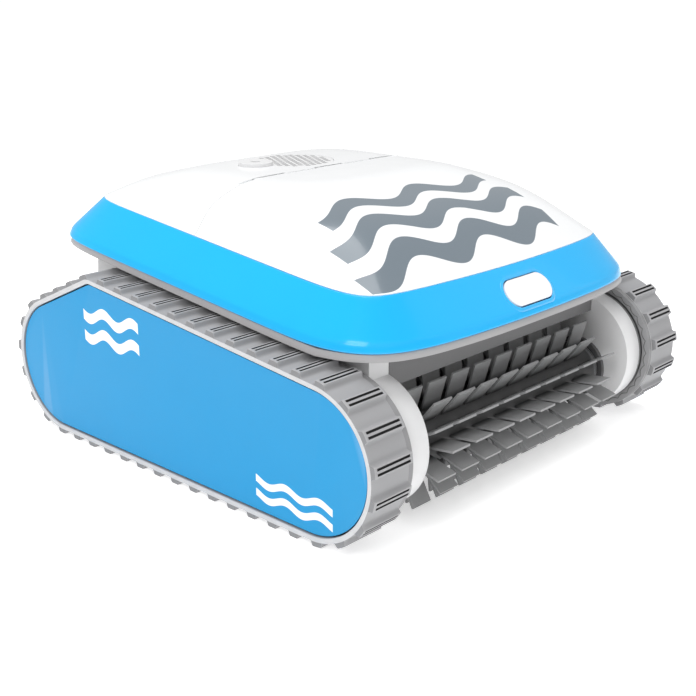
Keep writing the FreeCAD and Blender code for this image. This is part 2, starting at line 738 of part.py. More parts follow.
for word, side in SIDES.items():
    axis = "+X" if side > 0 else "-X"
    sign = "" if side > 0 else "0 - "
    title = word.capitalize()
    node(f"side_frame_{word}", fixed_shape(f"SideFrame{title}", make_side_frame(side)))
    node(f"gearbox_cover_{word}", fixed_shape(f"GearboxCover{title}", make_gearbox_cover(side)))
    node(f"side_cover_{word}", fixed_shape(f"SideCover{title}", make_side_cover(side)))
    node(f"track_belt_{word}", fixed_shape(f"TrackBelt{title}", belt_shape(side)))
    node(f"belt_rail_{word}", fixed_shape(f"BeltRail{title}", make_belt_rail(side)))
    seat = f"{sign}frame_outer_x"
    span = "cover_outer_x - cover_thickness - frame_outer_x"
    node(f"front_axle_{word}", rod(f"FrontAxle{title}", "axle_radius", span,
                                   (seat, FRONT_AT, AXLE_AT), axis))
    node(f"idler_axle_{word}", rod(f"IdlerAxle{title}", "idler_axle_radius", span,
                                   (seat, *IDLER_AT), axis))
    node(f"front_wheel_{word}", make_wheel(f"FrontWheel{title}", FRONT_AT, AXLE_AT, WHEEL_RADIUS,
                                           "axle_radius + running_gap", side))
    node(f"rear_wheel_{word}", make_wheel(f"RearWheel{title}", REAR_AT, AXLE_AT, WHEEL_RADIUS,
                                          "axle_radius", side))
    node(f"idler_roller_{word}", make_roller(f"IdlerRoller{title}", side))
    drive_end = f"{sign}(frame_inner_x - tub_wall - 3)" if side > 0 else "tub_wall + 3 - frame_inner_x"
    back = "-X" if side > 0 else "+X"
    motor = rod(f"DriveBody{title}", "drive_radius", "drive_length", (drive_end, REAR_AT, AXLE_AT), back)
    socket = rod(f"DriveSocket{title}", "axle_radius + running_gap", "20",
                 (drive_end, REAR_AT, AXLE_AT), back)
    node(f"drive_motor_{word}", cut(f"DriveMotor{title}", motor, socket))
    shaft_start = "frame_inner_x - tub_wall - 22" if side > 0 else "tub_wall + 22 - frame_inner_x"
    shaft_length = "cover_outer_x - cover_thickness - body_gap - frame_inner_x + tub_wall + 22"
    node(f"drive_shaft_{word}", rod(f"DriveShaft{title}", "axle_radius", shaft_length,
                                    (shaft_start, REAR_AT, AXLE_AT), axis))

node("cover_screws", fixed_shape("CoverScrews", make_cover_screws()))


# ---------------------------------------------------------------- brush
def make_brush_blades():
    """A sleeve with rows of flat blades, alternate rows shifted by half a pitch."""
    y = size("brush_y")
    z = size("brush_z")
    core = size("brush_core_radius")
    half = size("brush_half_length")
    sleeve = tube_x(y, z, core + size("brush_sleeve"), -half, half)
    sleeve = sleeve.cut(tube_x(y, z, core, -half, half))
    thickness = size("blade_thickness")
    width = size("flap_width")
    reach = math.sqrt(size("brush_tip_radius") ** 2 - (thickness / 2) ** 2)
    rows = int(size("flap_rows"))
    blades = []
    for index in range(rows):
        shifted = index % 2
        count = int(2 * half / size("flap_pitch")) + 1 - shifted
        for place_index in range(count):
            x = (place_index - (count - 1) / 2) * size("flap_pitch")
            blade = block(x - width / 2, x + width / 2, y + core + 0.5, y + reach,
                          z - thickness / 2, z + thickness / 2)
            blade.rotate(Vector(0, y, z), Vector(1, 0, 0),
                         size("first_row_angle") + index * 360 / rows)
            blades.append(blade)
    return sleeve.fuse(blades).removeSplitter()


def make_brush_hub(side):
    """Fixed end plate on the side housing with arc slots around the pin's bore."""
    inner = side * size("frame_inner_x")
    end = inner - side * size("hub_plate_thickness")
    low = min(inner, end)
    high = max(inner, end)
    y = size("brush_y")
    z = size("brush_z")
    plate = tube_x(y, z, size("hub_plate_radius"), low, high)
    ring = tube_x(y, z, 20, low - 1, high + 1).cut(tube_x(y, z, 15, low - 1, high + 1))
    for index in range(3):
        spoke = block(low - 2, high + 2, y - 3, y + 3, z, z + 30)
        spoke.rotate(Vector(0, y, z), Vector(1, 0, 0), 120 * index)
        ring = ring.cut(spoke)
    pin = size("brush_pin_radius") + size("running_gap")
    return plate.cut(ring).cut(tube_x(y, z, pin, low - 1, high + 1))


BRUSH_AT = ("brush_y", "brush_z")
node("brush_blades", fixed_shape("BrushBlades", make_brush_blades()))
CORE_AT = ("0 - brush_half_length", *BRUSH_AT)
core = cut("BrushCore",
           rod("CoreTube", "brush_core_radius", "2 * brush_half_length", CORE_AT, "+X"),
           rod("CoreBore", "brush_core_radius - 3", "2 * brush_half_length", CORE_AT, "+X"))
node("brush_core", core)
for word, side in SIDES.items():
    title = word.capitalize()
    axis = "+X" if side > 0 else "-X"
    sign = "" if side > 0 else "0 - "
    node(f"brush_hub_{word}", fixed_shape(f"BrushHub{title}", make_brush_hub(side)))
    cap = rod(f"CapDisc{title}", "brush_core_radius + brush_sleeve", "4",
              (f"{sign}brush_half_length", *BRUSH_AT), axis)
    plug_start = "brush_half_length - 12" if side > 0 else "12 - brush_half_length"
    plug = rod(f"CapPlug{title}", "brush_core_radius - 3", "12", (plug_start, *BRUSH_AT), axis)
    pin = rod(f"CapPin{title}", "brush_pin_radius",
              "frame_inner_x + frame_wall + 4 - brush_half_length",
              (f"{sign}brush_half_length", *BRUSH_AT), axis)
    node(f"brush_cap_{word}", join(f"BrushCap{title}", [cap, plug, pin]))


# ---------------------------------------------------------------- pump
def make_outlet_grille():
    """A round grille with a field of six-sided holes, notched for the cable gland."""
    top = size("crown_z")
    thick = size("grille_thickness")
    x0, y0 = OUTLET
    disc = Part.makeCylinder(size("outlet_radius"), thick, Vector(x0, y0, top - thick))
    pitch = 6.4
    reach = size("outlet_radius") - 4.5
    holes = []
    for row in range(-6, 7):
        for column in range(-6, 7):
            x = (column + 0.5 * (row % 2)) * pitch
            y = row * pitch * math.sqrt(3) / 2
            near_gland = math.hypot(x + x0 - GLAND[0], y + y0 - GLAND[1]) < size("gland_radius") + 4
            if math.hypot(x, y) > reach or near_gland:
                continue
            corners = []
            for corner in range(7):
                angle = math.radians(60 * corner + 30)
                corners.append(Vector(x0 + x + 2.6 * math.cos(angle), y0 + y + 2.6 * math.sin(angle),
                                      top - thick - 1))
            holes.append(Part.Face(Part.makePolygon(corners)).extrude(Vector(0, 0, thick + 2)))
    disc = disc.cut(holes)
    notch = Part.makeCylinder(size("gland_radius") + 0.2, 20, Vector(*GLAND, top - 10))
    return disc.cut(notch)


def make_outlet_duct():
    top = size("crown_z") - WALL
    radius = size("outlet_radius") + 1
    length = size("duct_length")
    outer = Part.makeCylinder(radius + size("duct_wall"), length, Vector(*OUTLET, top - length))
    bore = Part.makeCylinder(radius, length - 4, Vector(*OUTLET, top - length))
    mouth = Part.makeCylinder(radius - 3, 10, Vector(*OUTLET, top - 8))
    thick = size("grille_thickness")
    seat = Part.makeCylinder(radius, thick, Vector(*OUTLET, top + WALL - thick))
    notch = Part.makeCylinder(size("gland_radius") + 0.3, 40, Vector(*GLAND, top - size("gland_depth")))
    return outer.cut([bore, mouth, seat, notch, CROWN])


def make_gland():
    top = size("crown_z")
    body = Part.makeCylinder(size("gland_radius"), size("gland_rise") + size("gland_depth") - 2,
                             Vector(*GLAND, top - size("gland_depth") + 2))
    bore = Part.makeCylinder(size("cable_bore_radius"), 60, Vector(*GLAND, top - 30))
    return body.cut(bore)


node("outlet_grille", fixed_shape("OutletGrille", make_outlet_grille()))
node("outlet_duct", fixed_shape("OutletDuct", make_outlet_duct()))
node("cable_gland", fixed_shape("CableGland", make_gland()))

PUMP_AT = ("0", "pump_y")
FLOOR_TOP = "tub_floor_z + tub_wall"
housing = cut("MotorHousing",
              rod("HousingBody", "housing_radius", "housing_height", (*PUMP_AT, FLOOR_TOP)),
              rod("HousingHollow", "housing_radius - housing_wall", "housing_height",
                  (*PUMP_AT, FLOOR_TOP + " + housing_wall")))
node("motor_housing", housing)
CAP_AT = FLOOR_TOP + " + housing_height"
node("motor_cap", cut("MotorCap", rod("CapPlate", "housing_radius", "3", (*PUMP_AT, CAP_AT)),
                      rod("CapHole", "shaft_radius + 3", "3", (*PUMP_AT, CAP_AT))))
node("shaft_seal", cut("ShaftSeal", rod("SealRing", "shaft_radius + 3", "3", (*PUMP_AT, CAP_AT)),
                       rod("SealBore", "shaft_radius + running_gap", "3", (*PUMP_AT, CAP_AT))))
MOTOR_BASE = FLOOR_TOP + " + housing_height - motor_height"
node("pump_motor", cut("PumpMotor", rod("MotorBody", "motor_radius", "motor_height", (*PUMP_AT, MOTOR_BASE)),
                       rod("MotorSocket", "shaft_radius + running_gap", "20",
                           (*PUMP_AT, MOTOR_BASE + " + motor_height - 20"))))
node("circuit_board", rod("CircuitBoard", "housing_radius - housing_wall - 1", "1.6",
                          (*PUMP_AT, FLOOR_TOP + " + housing_wall")))
node("pump_shaft", rod("PumpShaft", "shaft_radius", f"propeller_z + propeller_height - ({CAP_AT} - 18)",
                       (*PUMP_AT, CAP_AT + " - 18")))


def make_propeller():
    """Hub and four pitched blades."""
    z = size("propeller_z")
    height = size("propeller_height")
    hub = Part.makeCylinder(size("propeller_hub_radius"), height, Vector(*OUTLET, z))
    reach = size("outlet_radius") + 1 - size("propeller_tip_gap")
    blades = []
    for index in range(4):
        blade = block(size("propeller_hub_radius") - 2, reach, -1.1, 1.1, -11, 11)
        blade.rotate(Vector(0, 0, 0), Vector(1, 0, 0), 58)
        blade.translate(Vector(*OUTLET, z + height / 2))
        blade.rotate(Vector(*OUTLET, 0), Vector(0, 0, 1), 90 * index)
        blades.append(blade)
    body = hub.fuse(blades)
    sweep = Part.makeCylinder(reach, height, Vector(*OUTLET, z))
    bore = Part.makeCylinder(size("shaft_radius"), height, Vector(*OUTLET, z))
    return body.common(sweep).cut(bore)


node("propeller", fixed_shape("Propeller", make_propeller()))


# ---------------------------------------------------------------- filter basket
def make_filter_basket():
    """An open frame of posts and rails with a closed floor that lets the inlet ducts through."""
    half = size("basket_half_width")
    front = size("basket_front_y")
    rear = size("basket_rear_y")
    wall = size("basket_wall")
    low = size("basket_floor_z")
    high = rim_under(front) - 2
    outer = block(-half, half, front, rear, low, high)
    inner = block(-half + wall, half - wall, front + wall, rear - wall, low + wall, high + 1)
    basket = outer.cut(inner)
    windows = []
    count = 5
    pitch = (2 * half - 12) / count
    for index in range(count):
        x = -half + 6 + index * pitch
        windows.append(block(x + 3, x + pitch - 3, front - 1, rear + 1, low + 10, high - 10))
    depth = (rear - front - 12) / 2
    for index in range(2):
        y = front + 6 + index * depth
        windows.append(block(-half - 1, half + 1, y + 3, y + depth - 3, low + 10, high - 10))
    basket = basket.cut(windows)
    for side in SIDES.values():
        basket = basket.cut(inlet_block(side, size("inlet_wall") + 0.5, low - 1, low + wall + 1))
    return basket


def make_filter_mesh():
    """Thin fabric lining inside the basket's walls."""
    half = size("basket_half_width") - size("basket_wall")
    front = size("basket_front_y") + size("basket_wall")
    rear = size("basket_rear_y") - size("basket_wall")
    low = size("basket_floor_z") + size("basket_wall")
    high = rim_under(size("basket_front_y")) - 2
    sheet = 0.8
    outer = block(-half, half, front, rear, low, high)
    return outer.cut(block(-half + sheet, half - sheet, front + sheet, rear - sheet, low - 1, high + 1))


node("filter_basket", fixed_shape("FilterBasket", make_filter_basket()))
node("filter_mesh", fixed_shape("FilterMesh", make_filter_mesh()))


def make_inlet_flap(side):
    """A flap that lies on the inlet duct and turns on two pins behind it."""
    top = size("tub_floor_z") + size("inlet_height")
    thick = size("flap_thickness")
    x = side * size("inlet_x")
    half = size("inlet_length") / 2 + size("inlet_wall")
    depth = size("inlet_width") / 2 + size("inlet_wall")
    y = size("inlet_y")
    lift = 0.3
    flap = block(x - half + 3, x + half - 3, y - depth, y + depth + 3, top + lift, top + lift + thick)
    barrel = tube_x(y + depth + 3, top + lift + thick / 2 + 0.6, 1.6, x - half - 2, x + half + 2)
    return flap.fuse(barrel)


for word, side in SIDES.items():
    title = word.capitalize()
    node(f"inlet_flap_{word}", fixed_shape(f"InletFlap{title}", make_inlet_flap(side)))


# ---------------------------------------------------------------- foam floats
def make_foam(side):
    """A buoyancy block on the deck under the lid."""
    x = side * (CHAMBER_X + 6 + size("foam_width") / 2)
    half = size("foam_width") / 2
    length = size("foam_length")
    deck = -size("rim_height") + size("plate_thickness")
    corners = [(y, edge_height(y, deck + up)) for y, up in
               ((-60, 0), (length - 60, 0), (length - 60, size("foam_height")), (-60, size("foam_height")))]
    return profile_x(corners, x - half, x + half)


for word, side in SIDES.items():
    node(f"foam_float_{word}", fixed_shape(f"FoamFloat{word.capitalize()}", make_foam(side)))


# ---------------------------------------------------------------- latch
def make_latch_button():
    depth = size("button_depth")
    face = button_face(0, -depth).extrude(Vector(0, 0, depth + size("button_proud")))
    w = size("stem_width") / 2
    v = size("stem_height") / 2
    stem = Part.makeBox(2 * w, 2 * v, size("stem_length"), Vector(-w, -v, -depth - size("stem_length")))
    return face.fuse(stem).removeSplitter()


def keeper_depth():
    """Distance from the face plane to the keeper's front, clear of the pressed button."""
    return size("button_depth") + size("button_travel") + 1


def make_latch_keeper():
    """A bracket on the deck that guides the button's stem and seats its spring."""
    depth = keeper_depth()
    w = size("stem_width") / 2 + 0.4
    v = size("stem_height") / 2 + 0.4
    back = depth + size("spring_room") + 2
    outer = Part.makeBox(2 * w + 8, 2 * v + 6, back - depth, Vector(-w - 4, -v - 3, -back))
    slot = Part.makeBox(2 * w, 2 * v, back - depth - 2, Vector(-w, -v, -back + 2))
    wing = Part.makeBox(64, 2 * v + 6, 3, Vector(-32, -v - 3, -depth - 3))
    deck = slice_between([(-260, 80), (260, 80)], edge_line(size("plate_thickness") - size("rim_height")))
    deck.Placement = FACE_PLACE.inverse()
    return outer.fuse(wing).removeSplitter().cut([slot, deck])


def make_latch_spring():
    start = size("button_depth") + size("stem_length")
    end = keeper_depth() + size("spring_room")
    length = end - start
    outer = Part.makeCylinder(3.2, length, Vector(0, 0, -end))
    return outer.cut(Part.makeCylinder(2.2, length, Vector(0, 0, -end)))


node("latch_button", fixed_shape("LatchButton", make_latch_button(), FACE_PLACE))
node("latch_keeper", fixed_shape("LatchKeeper", make_latch_keeper(), FACE_PLACE))
node("latch_spring", fixed_shape("LatchSpring", make_latch_spring(), FACE_PLACE))


# ---------------------------------------------------------------- export
DOC.recompute()
problems = [thing.Name for thing in DOC.Objects if {"Invalid", "Error"} & set(thing.State)]
for thing in NODES:
    if thing.Shape.isNull() or not thing.Shape.isValid() or not thing.Shape.Solids:
        problems.append(thing.Label)
if problems:
    raise RuntimeError("failed objects: " + ", ".join(problems))
os.makedirs("parts", exist_ok=True)
for thing in NODES:
    thing.Shape.exportStep(os.path.join("parts", thing.Label + ".step"))
    print(f"{thing.Label}: {len(thing.Shape.Solids)} solids, {thing.Shape.Volume / 1000:.1f} cm3")
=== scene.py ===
import math

import bmesh
import bpy
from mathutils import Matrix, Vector


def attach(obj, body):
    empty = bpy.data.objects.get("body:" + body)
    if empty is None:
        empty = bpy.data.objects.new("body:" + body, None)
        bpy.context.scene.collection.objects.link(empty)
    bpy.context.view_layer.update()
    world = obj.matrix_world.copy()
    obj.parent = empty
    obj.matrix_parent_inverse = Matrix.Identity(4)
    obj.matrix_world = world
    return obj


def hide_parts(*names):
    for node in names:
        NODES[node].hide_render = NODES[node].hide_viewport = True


bl_info = {
    "name": "Pool Cleaner Look",
    "version": (1, 0, 0),
    "blender": (4, 5, 0),
    "location": "3D View > Sidebar > Pool Cleaner",
    "description": "Dresses a tracked pool cleaner's parts and sets up its studio",
    "category": "Object",
}

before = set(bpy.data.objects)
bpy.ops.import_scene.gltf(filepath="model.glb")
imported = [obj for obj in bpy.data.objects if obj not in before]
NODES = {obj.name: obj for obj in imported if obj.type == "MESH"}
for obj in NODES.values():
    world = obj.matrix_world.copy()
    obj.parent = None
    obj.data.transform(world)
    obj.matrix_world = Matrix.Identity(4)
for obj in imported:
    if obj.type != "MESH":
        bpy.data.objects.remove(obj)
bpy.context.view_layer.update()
MM = 0.001
SIDES = {"left": -1, "right": 1}


# ---------------------------------------------------------------- node groups
def group_with(name, inputs, outputs):
    """An empty shader group with named sockets; inputs give (type, default)."""
    group = bpy.data.node_groups.new(name, "ShaderNodeTree")
    for label, (kind, value) in inputs.items():
        socket = group.interface.new_socket(label, in_out="INPUT", socket_type=kind)
        socket.default_value = value
    for label, kind in outputs.items():
        group.interface.new_socket(label, in_out="OUTPUT", socket_type=kind)
    enter = group.nodes.new("NodeGroupInput")
    leave = group.nodes.new("NodeGroupOutput")
    return group, enter, leave


def add(tree, kind, values=None, **settings):
    """A node with its settings and unlinked input values."""
    made = tree.nodes.new(kind)
    for key, value in settings.items():
        setattr(made, key, value)
    for key, value in (values or {}).items():
        made.inputs[key].default_value = value
    return made


def moulded_grain():
    """Fine moulded texture: a bumped normal and a roughness that wanders a little."""
    group, enter, leave = group_with(
        "Moulded Grain",
        {
            "Grain Scale": ("NodeSocketFloat", 1800.0),
            "Grain Depth": ("NodeSocketFloat", 0.15),
            "Roughness": ("NodeSocketFloat", 0.4),
            "Roughness Spread": ("NodeSocketFloat", 0.08),
        },
        {"Normal": "NodeSocketVector", "Roughness": "NodeSocketFloat"},
    )
    place = add(group, "ShaderNodeTexCoord")
    fine = add(group, "ShaderNodeTexNoise", {"Detail": 3.0, "Roughness": 0.6})
    broad = add(group, "ShaderNodeTexNoise", {"Scale": 38.0, "Detail": 4.0})
    bump = add(group, "ShaderNodeBump", {"Distance": 0.0002})
    centred = add(group, "ShaderNodeMath", {1: 0.5}, operation="SUBTRACT")
    spread = add(group, "ShaderNodeMath", operation="MULTIPLY_ADD")
    link = group.links.new
    link(place.outputs["Object"], fine.inputs["Vector"])
    link(place.outputs["Object"], broad.inputs["Vector"])
    link(enter.outputs["Grain Scale"], fine.inputs["Scale"])
    link(enter.outputs["Grain Depth"], bump.inputs["Strength"])
    link(fine.outputs["Fac"], bump.inputs["Height"])
    link(broad.outputs["Fac"], centred.inputs[0])
    link(centred.outputs[0], spread.inputs[0])
    link(enter.outputs["Roughness Spread"], spread.inputs[1])
    link(enter.outputs["Roughness"], spread.inputs[2])
    link(bump.outputs["Normal"], leave.inputs["Normal"])
    link(spread.outputs[0], leave.inputs["Roughness"])
    return group


def edge_wear_and_corner_shade():
    """Colour that is lighter on worn edges and darker in hollow corners, where the darkening is
    painted shade.
    """
    group, enter, leave = group_with(
        "Edge Wear",
        {
            "Colour": ("NodeSocketColor", (0.5, 0.5, 0.5, 1)),
            "Edge Colour": ("NodeSocketColor", (0.7, 0.7, 0.7, 1)),
            "Corner Shade Colour": ("NodeSocketColor", (0.3, 0.3, 0.3, 1)),
            "Edge Amount": ("NodeSocketFloat", 0.5),
            "Corner Shade Amount": ("NodeSocketFloat", 0.5),
            "Variation": ("NodeSocketFloat", 0.04),
        },
        {"Colour": "NodeSocketColor"},
    )
    geometry = add(group, "ShaderNodeNewGeometry")
    place = add(group, "ShaderNodeTexCoord")
    broad = add(group, "ShaderNodeTexNoise", {"Scale": 26.0, "Detail": 5.0})
    edge = add(group, "ShaderNodeMapRange", {"From Min": 0.51, "From Max": 0.58})
    # Painted shade: low pointiness, in hollow corners, darkens the colour towards the shade colour.
    corner_shade = add(group, "ShaderNodeMapRange", {"From Min": 0.49, "From Max": 0.42})
    edge_share = add(group, "ShaderNodeMath", operation="MULTIPLY")
    corner_shade_share = add(group, "ShaderNodeMath", operation="MULTIPLY")
    light = add(group, "ShaderNodeMix", data_type="RGBA")
    # The dark mix paints that shade into the hollows.
    dark = add(group, "ShaderNodeMix", data_type="RGBA")
    centred = add(group, "ShaderNodeMath", {1: 0.5}, operation="SUBTRACT")
    swing = add(group, "ShaderNodeMath", {2: 1.0}, operation="MULTIPLY_ADD")
    shade = add(group, "ShaderNodeHueSaturation")
    link = group.links.new
    link(place.outputs["Object"], broad.inputs["Vector"])
    link(geometry.outputs["Pointiness"], edge.inputs["Value"])
    link(geometry.outputs["Pointiness"], corner_shade.inputs["Value"])
    link(edge.outputs["Result"], edge_share.inputs[0])
    link(enter.outputs["Edge Amount"], edge_share.inputs[1])
    link(corner_shade.outputs["Result"], corner_shade_share.inputs[0])
    link(enter.outputs["Corner Shade Amount"], corner_shade_share.inputs[1])
    link(edge_share.outputs[0], light.inputs["Factor"])
    link(enter.outputs["Colour"], light.inputs["A"])
    link(enter.outputs["Edge Colour"], light.inputs["B"])
    link(corner_shade_share.outputs[0], dark.inputs["Factor"])
    link(light.outputs["Result"], dark.inputs["A"])
    link(enter.outputs["Corner Shade Colour"], dark.inputs["B"])
    link(broad.outputs["Fac"], centred.inputs[0])
    link(centred.outputs[0], swing.inputs[0])
    link(enter.outputs["Variation"], swing.inputs[1])
    link(swing.outputs[0], shade.inputs["Value"])
    link(dark.outputs["Result"], shade.inputs["Color"])
    link(shade.outputs["Color"], leave.inputs["Colour"])
    return group


GRAIN = moulded_grain()
WEAR_AND_SHADE = edge_wear_and_corner_shade()


def use_group(tree, group, values):
    """A group node with its own input values."""
    made = add(tree, "ShaderNodeGroup", node_tree=group)
    for key, value in values.items():
        made.inputs[key].default_value = value
    return made


def tint(colour, share):
    """A colour scaled towards black (share below 1) or white (above 1)."""
    if share <= 1:
        return tuple(c * share for c in colour[:3]) + (1,)
    return tuple(c + (1 - c) * (share - 1) for c in colour[:3]) + (1,)


def finish_of(name, colour, roughness, grain=(1800, 0.15), spread=0.08, edge=(1.2, 0.4),
              corner_shade=(0.6, 0.4), variation=0.04, **shader):
    """A material from the shared grain group and the group of edge wear and painted shade in hollow
    corners, with constants on the shader itself.
    """
    material = bpy.data.materials.new(name)
    material.use_nodes = True
    tree = material.node_tree
    surface = tree.nodes["Principled BSDF"]
    texture = use_group(tree, GRAIN, {
        "Grain Scale": grain[0], "Grain Depth": grain[1], "Roughness": roughness,
        "Roughness Spread": spread,
    })
    # Lighter worn edges are real wear; the darker hollows are painted shade.
    rubbed_and_shaded = use_group(tree, WEAR_AND_SHADE, {
        "Colour": (*colour, 1), "Edge Colour": tint(colour, edge[0]), "Edge Amount": edge[1],
        "Corner Shade Colour": tint(colour, corner_shade[0]), "Corner Shade Amount": corner_shade[1],
        "Variation": variation,
    })
    tree.links.new(rubbed_and_shaded.outputs["Colour"], surface.inputs["Base Color"])
    tree.links.new(texture.outputs["Normal"], surface.inputs["Normal"])
    tree.links.new(texture.outputs["Roughness"], surface.inputs["Roughness"])
    for key, value in shader.items():
        surface.inputs[key.replace("_", " ")].default_value = value
    material.diffuse_color = (*colour, 1)
    return material


def paint_shade_near_axis(material, centre, near, far):
    """Paint shade on a material: darker close to a line along X through a centre."""
    tree = material.node_tree
    surface = tree.nodes["Principled BSDF"]
    plain = surface.inputs["Base Color"].links[0].from_socket
    place = add(tree, "ShaderNodeTexCoord")
    away = add(tree, "ShaderNodeVectorMath", {1: centre}, operation="SUBTRACT")
    across = add(tree, "ShaderNodeVectorMath", {1: (0, 1, 1)}, operation="MULTIPLY")
    radius = add(tree, "ShaderNodeVectorMath", operation="LENGTH")
    share = add(tree, "ShaderNodeMapRange", {"From Min": near, "From Max": far, "To Min": 0.16})
    darker = add(tree, "ShaderNodeVectorMath", operation="SCALE")
    tree.links.new(place.outputs["Object"], away.inputs[0])
    tree.links.new(away.outputs[0], across.inputs[0])
    tree.links.new(across.outputs[0], radius.inputs[0])
    tree.links.new(radius.outputs["Value"], share.inputs["Value"])
    tree.links.new(plain, darker.inputs[0])
    tree.links.new(share.outputs["Result"], darker.inputs["Scale"])
    tree.links.new(darker.outputs[0], surface.inputs["Base Color"])


def print_waves(material, grey, axes, waves):
    """Plain waves printed on a material: axes are the letters along and across the waves."""
    tree = material.node_tree
    surface = tree.nodes["Principled BSDF"]
    plain = surface.inputs["Base Color"].links[0].from_socket
    place = add(tree, "ShaderNodeTexCoord")
    split = add(tree, "ShaderNodeSeparateXYZ")
    link = tree.links.new
    link(place.outputs["Object"], split.inputs[0])
    mask = None
    for start, half_length, middle, thick, height, turn in waves:
        phase = add(tree, "ShaderNodeMath", {1: turn, 2: -turn * start}, operation="MULTIPLY_ADD")
        wave = add(tree, "ShaderNodeMath", operation="SINE")
        line = add(tree, "ShaderNodeMath", {1: height, 2: middle}, operation="MULTIPLY_ADD")
        gap = add(tree, "ShaderNodeMath", operation="SUBTRACT")
        away = add(tree, "ShaderNodeMath", operation="ABSOLUTE")
        centred = add(tree, "ShaderNodeMath", {1: start}, operation="SUBTRACT")
        ends = add(tree, "ShaderNodeMath", operation="ABSOLUTE")
        inside = add(tree, "ShaderNodeMapRange", {"From Min": thick, "From Max": thick - PRINT_EDGE})
        within = add(tree, "ShaderNodeMapRange",
                     {"From Min": half_length, "From Max": half_length - PRINT_EDGE})
        both = add(tree, "ShaderNodeMath", operation="MULTIPLY")
        link(split.outputs[axes[0]], phase.inputs[0])
        link(phase.outputs[0], wave.inputs[0])
        link(wave.outputs[0], line.inputs[0])
        link(split.outputs[axes[1]], gap.inputs[0])
        link(line.outputs[0], gap.inputs[1])
        link(gap.outputs[0], away.inputs[0])
        link(away.outputs[0], inside.inputs["Value"])
        link(split.outputs[axes[0]], centred.inputs[0])
        link(centred.outputs[0], ends.inputs[0])
        link(ends.outputs[0], within.inputs["Value"])
        link(inside.outputs["Result"], both.inputs[0])
        link(within.outputs["Result"], both.inputs[1])
        if mask is None:
            mask = both.outputs[0]
            continue
        union = add(tree, "ShaderNodeMath", operation="MAXIMUM")
        link(mask, union.inputs[0])
        link(both.outputs[0], union.inputs[1])
        mask = union.outputs[0]
    ink = add(tree, "ShaderNodeMix", {"B": (*grey, 1)}, data_type="RGBA")
    tree.links.new(mask, ink.inputs["Factor"])
    tree.links.new(plain, ink.inputs["A"])
    tree.links.new(ink.outputs["Result"], surface.inputs["Base Color"])


PRINT_EDGE = 0.0003
# Each wave, in metres: centre along, half length, line across, half thickness, height; and its turn.
DOOR_WAVES = [
    (-0.022, 0.112, -0.134, 0.0085, 0.0075, 82.0),
    (-0.020, 0.108, -0.104, 0.0085, 0.0075, 82.0),
    (-0.016, 0.098, -0.075, 0.0075, 0.0075, 82.0),
]
COVER_WAVES = [
    (0.068, 0.034, 0.1105, 0.0042, 0.0034, 180.0),
    (0.068, 0.034, 0.094, 0.0042, 0.0034, 180.0),
    (-0.125, 0.036, 0.0305, 0.0028, 0.0022, 200.0),
    (-0.125, 0.036, 0.020, 0.0028, 0.0022, 200.0),
]


# ---------------------------------------------------------------- properties
def colour_prop(name, description, default):
    return bpy.props.FloatVectorProperty(
        name=name, description=description, subtype="COLOR", size=3, min=0, max=1, default=default
    )


class CleanerColours(bpy.types.PropertyGroup):
    band_blue: colour_prop("Band blue", "Gloss blue of the lid's band", (0.004, 0.46, 0.92))
    cover_blue: colour_prop("Cover blue", "Satin blue of the side covers", (0.003, 0.285, 0.59))
    crown_white: colour_prop("Crown white", "White of the door, rear cover and button",
                             (0.92, 0.93, 0.94))
    housing_grey: colour_prop("Housing grey", "Light grey of the side housings",
                              (0.74, 0.74, 0.745))
    rim_grey: colour_prop("Rim grey", "Grey of the rim under the band", (0.38, 0.375, 0.38))
    hood_grey: colour_prop("Hood grey", "Mid grey of the brush hood and hull",
                           (0.085, 0.085, 0.088))
    belt_grey: colour_prop("Belt grey", "Grey of the crawler belts", (0.36, 0.36, 0.37))
    blade_grey: colour_prop("Blade grey", "Mid grey of the brush blades", (0.26, 0.262, 0.266))
    stripe_grey: colour_prop("Stripe grey", "Slate grey of the crown's stripes",
                             (0.165, 0.205, 0.24))


def colours():
    return bpy.context.scene.cleaner_colours


# ---------------------------------------------------------------- dressing the imported nodes
# The brush's axis and the radii of the blades' painted shade: full shade within dark, none beyond
# clear.
BRUSH = {"y": -143.3, "z": 46.0, "dark": 23.5, "clear": 30.0}


def dress(material, *names):
    """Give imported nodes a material."""
    for name in names:
        item = NODES[name]
        item.data.materials.clear()
        item.data.materials.append(material)


def soften(width, *names):
    """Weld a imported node's split corners and round its edges a little."""
    for name in names:
        item = NODES[name]
        item.modifiers.new("weld", "WELD").merge_threshold = 0.00001
        bevel = item.modifiers.new("bevel", "BEVEL")
        bevel.width = width
        bevel.segments = 2
        bevel.limit_method = "ANGLE"
        bevel.angle_limit = math.radians(35)
        bevel.harden_normals = True


class CLEANER_OT_housings(bpy.types.Operator):
    """Finish the light housings, the rim, the hull and the hood"""

    bl_idname = "cleaner.housings"
    bl_label = "Housings"

    def execute(self, context):
        c = colours()
        light = finish_of("light_housing", c.housing_grey, 0.42)
        mid = finish_of("hood_plastic", c.hood_grey, 0.5)
        dress(finish_of("rim_plastic", c.rim_grey, 0.45), "hull_rim")
        dress(light, "side_frame_left", "side_frame_right", "cable_gland",
              "outlet_grille")
        dress(mid, "brush_shroud", "hull_tub", "bottom_plate", "brush_hub_left", "brush_hub_right",
              "outlet_duct", "gearbox_cover_left", "gearbox_cover_right")
        soften(0.0005, "hull_rim", "side_frame_left", "side_frame_right", "brush_shroud",
               "cable_gland", "brush_hub_left", "brush_hub_right")
        return {"FINISHED"}


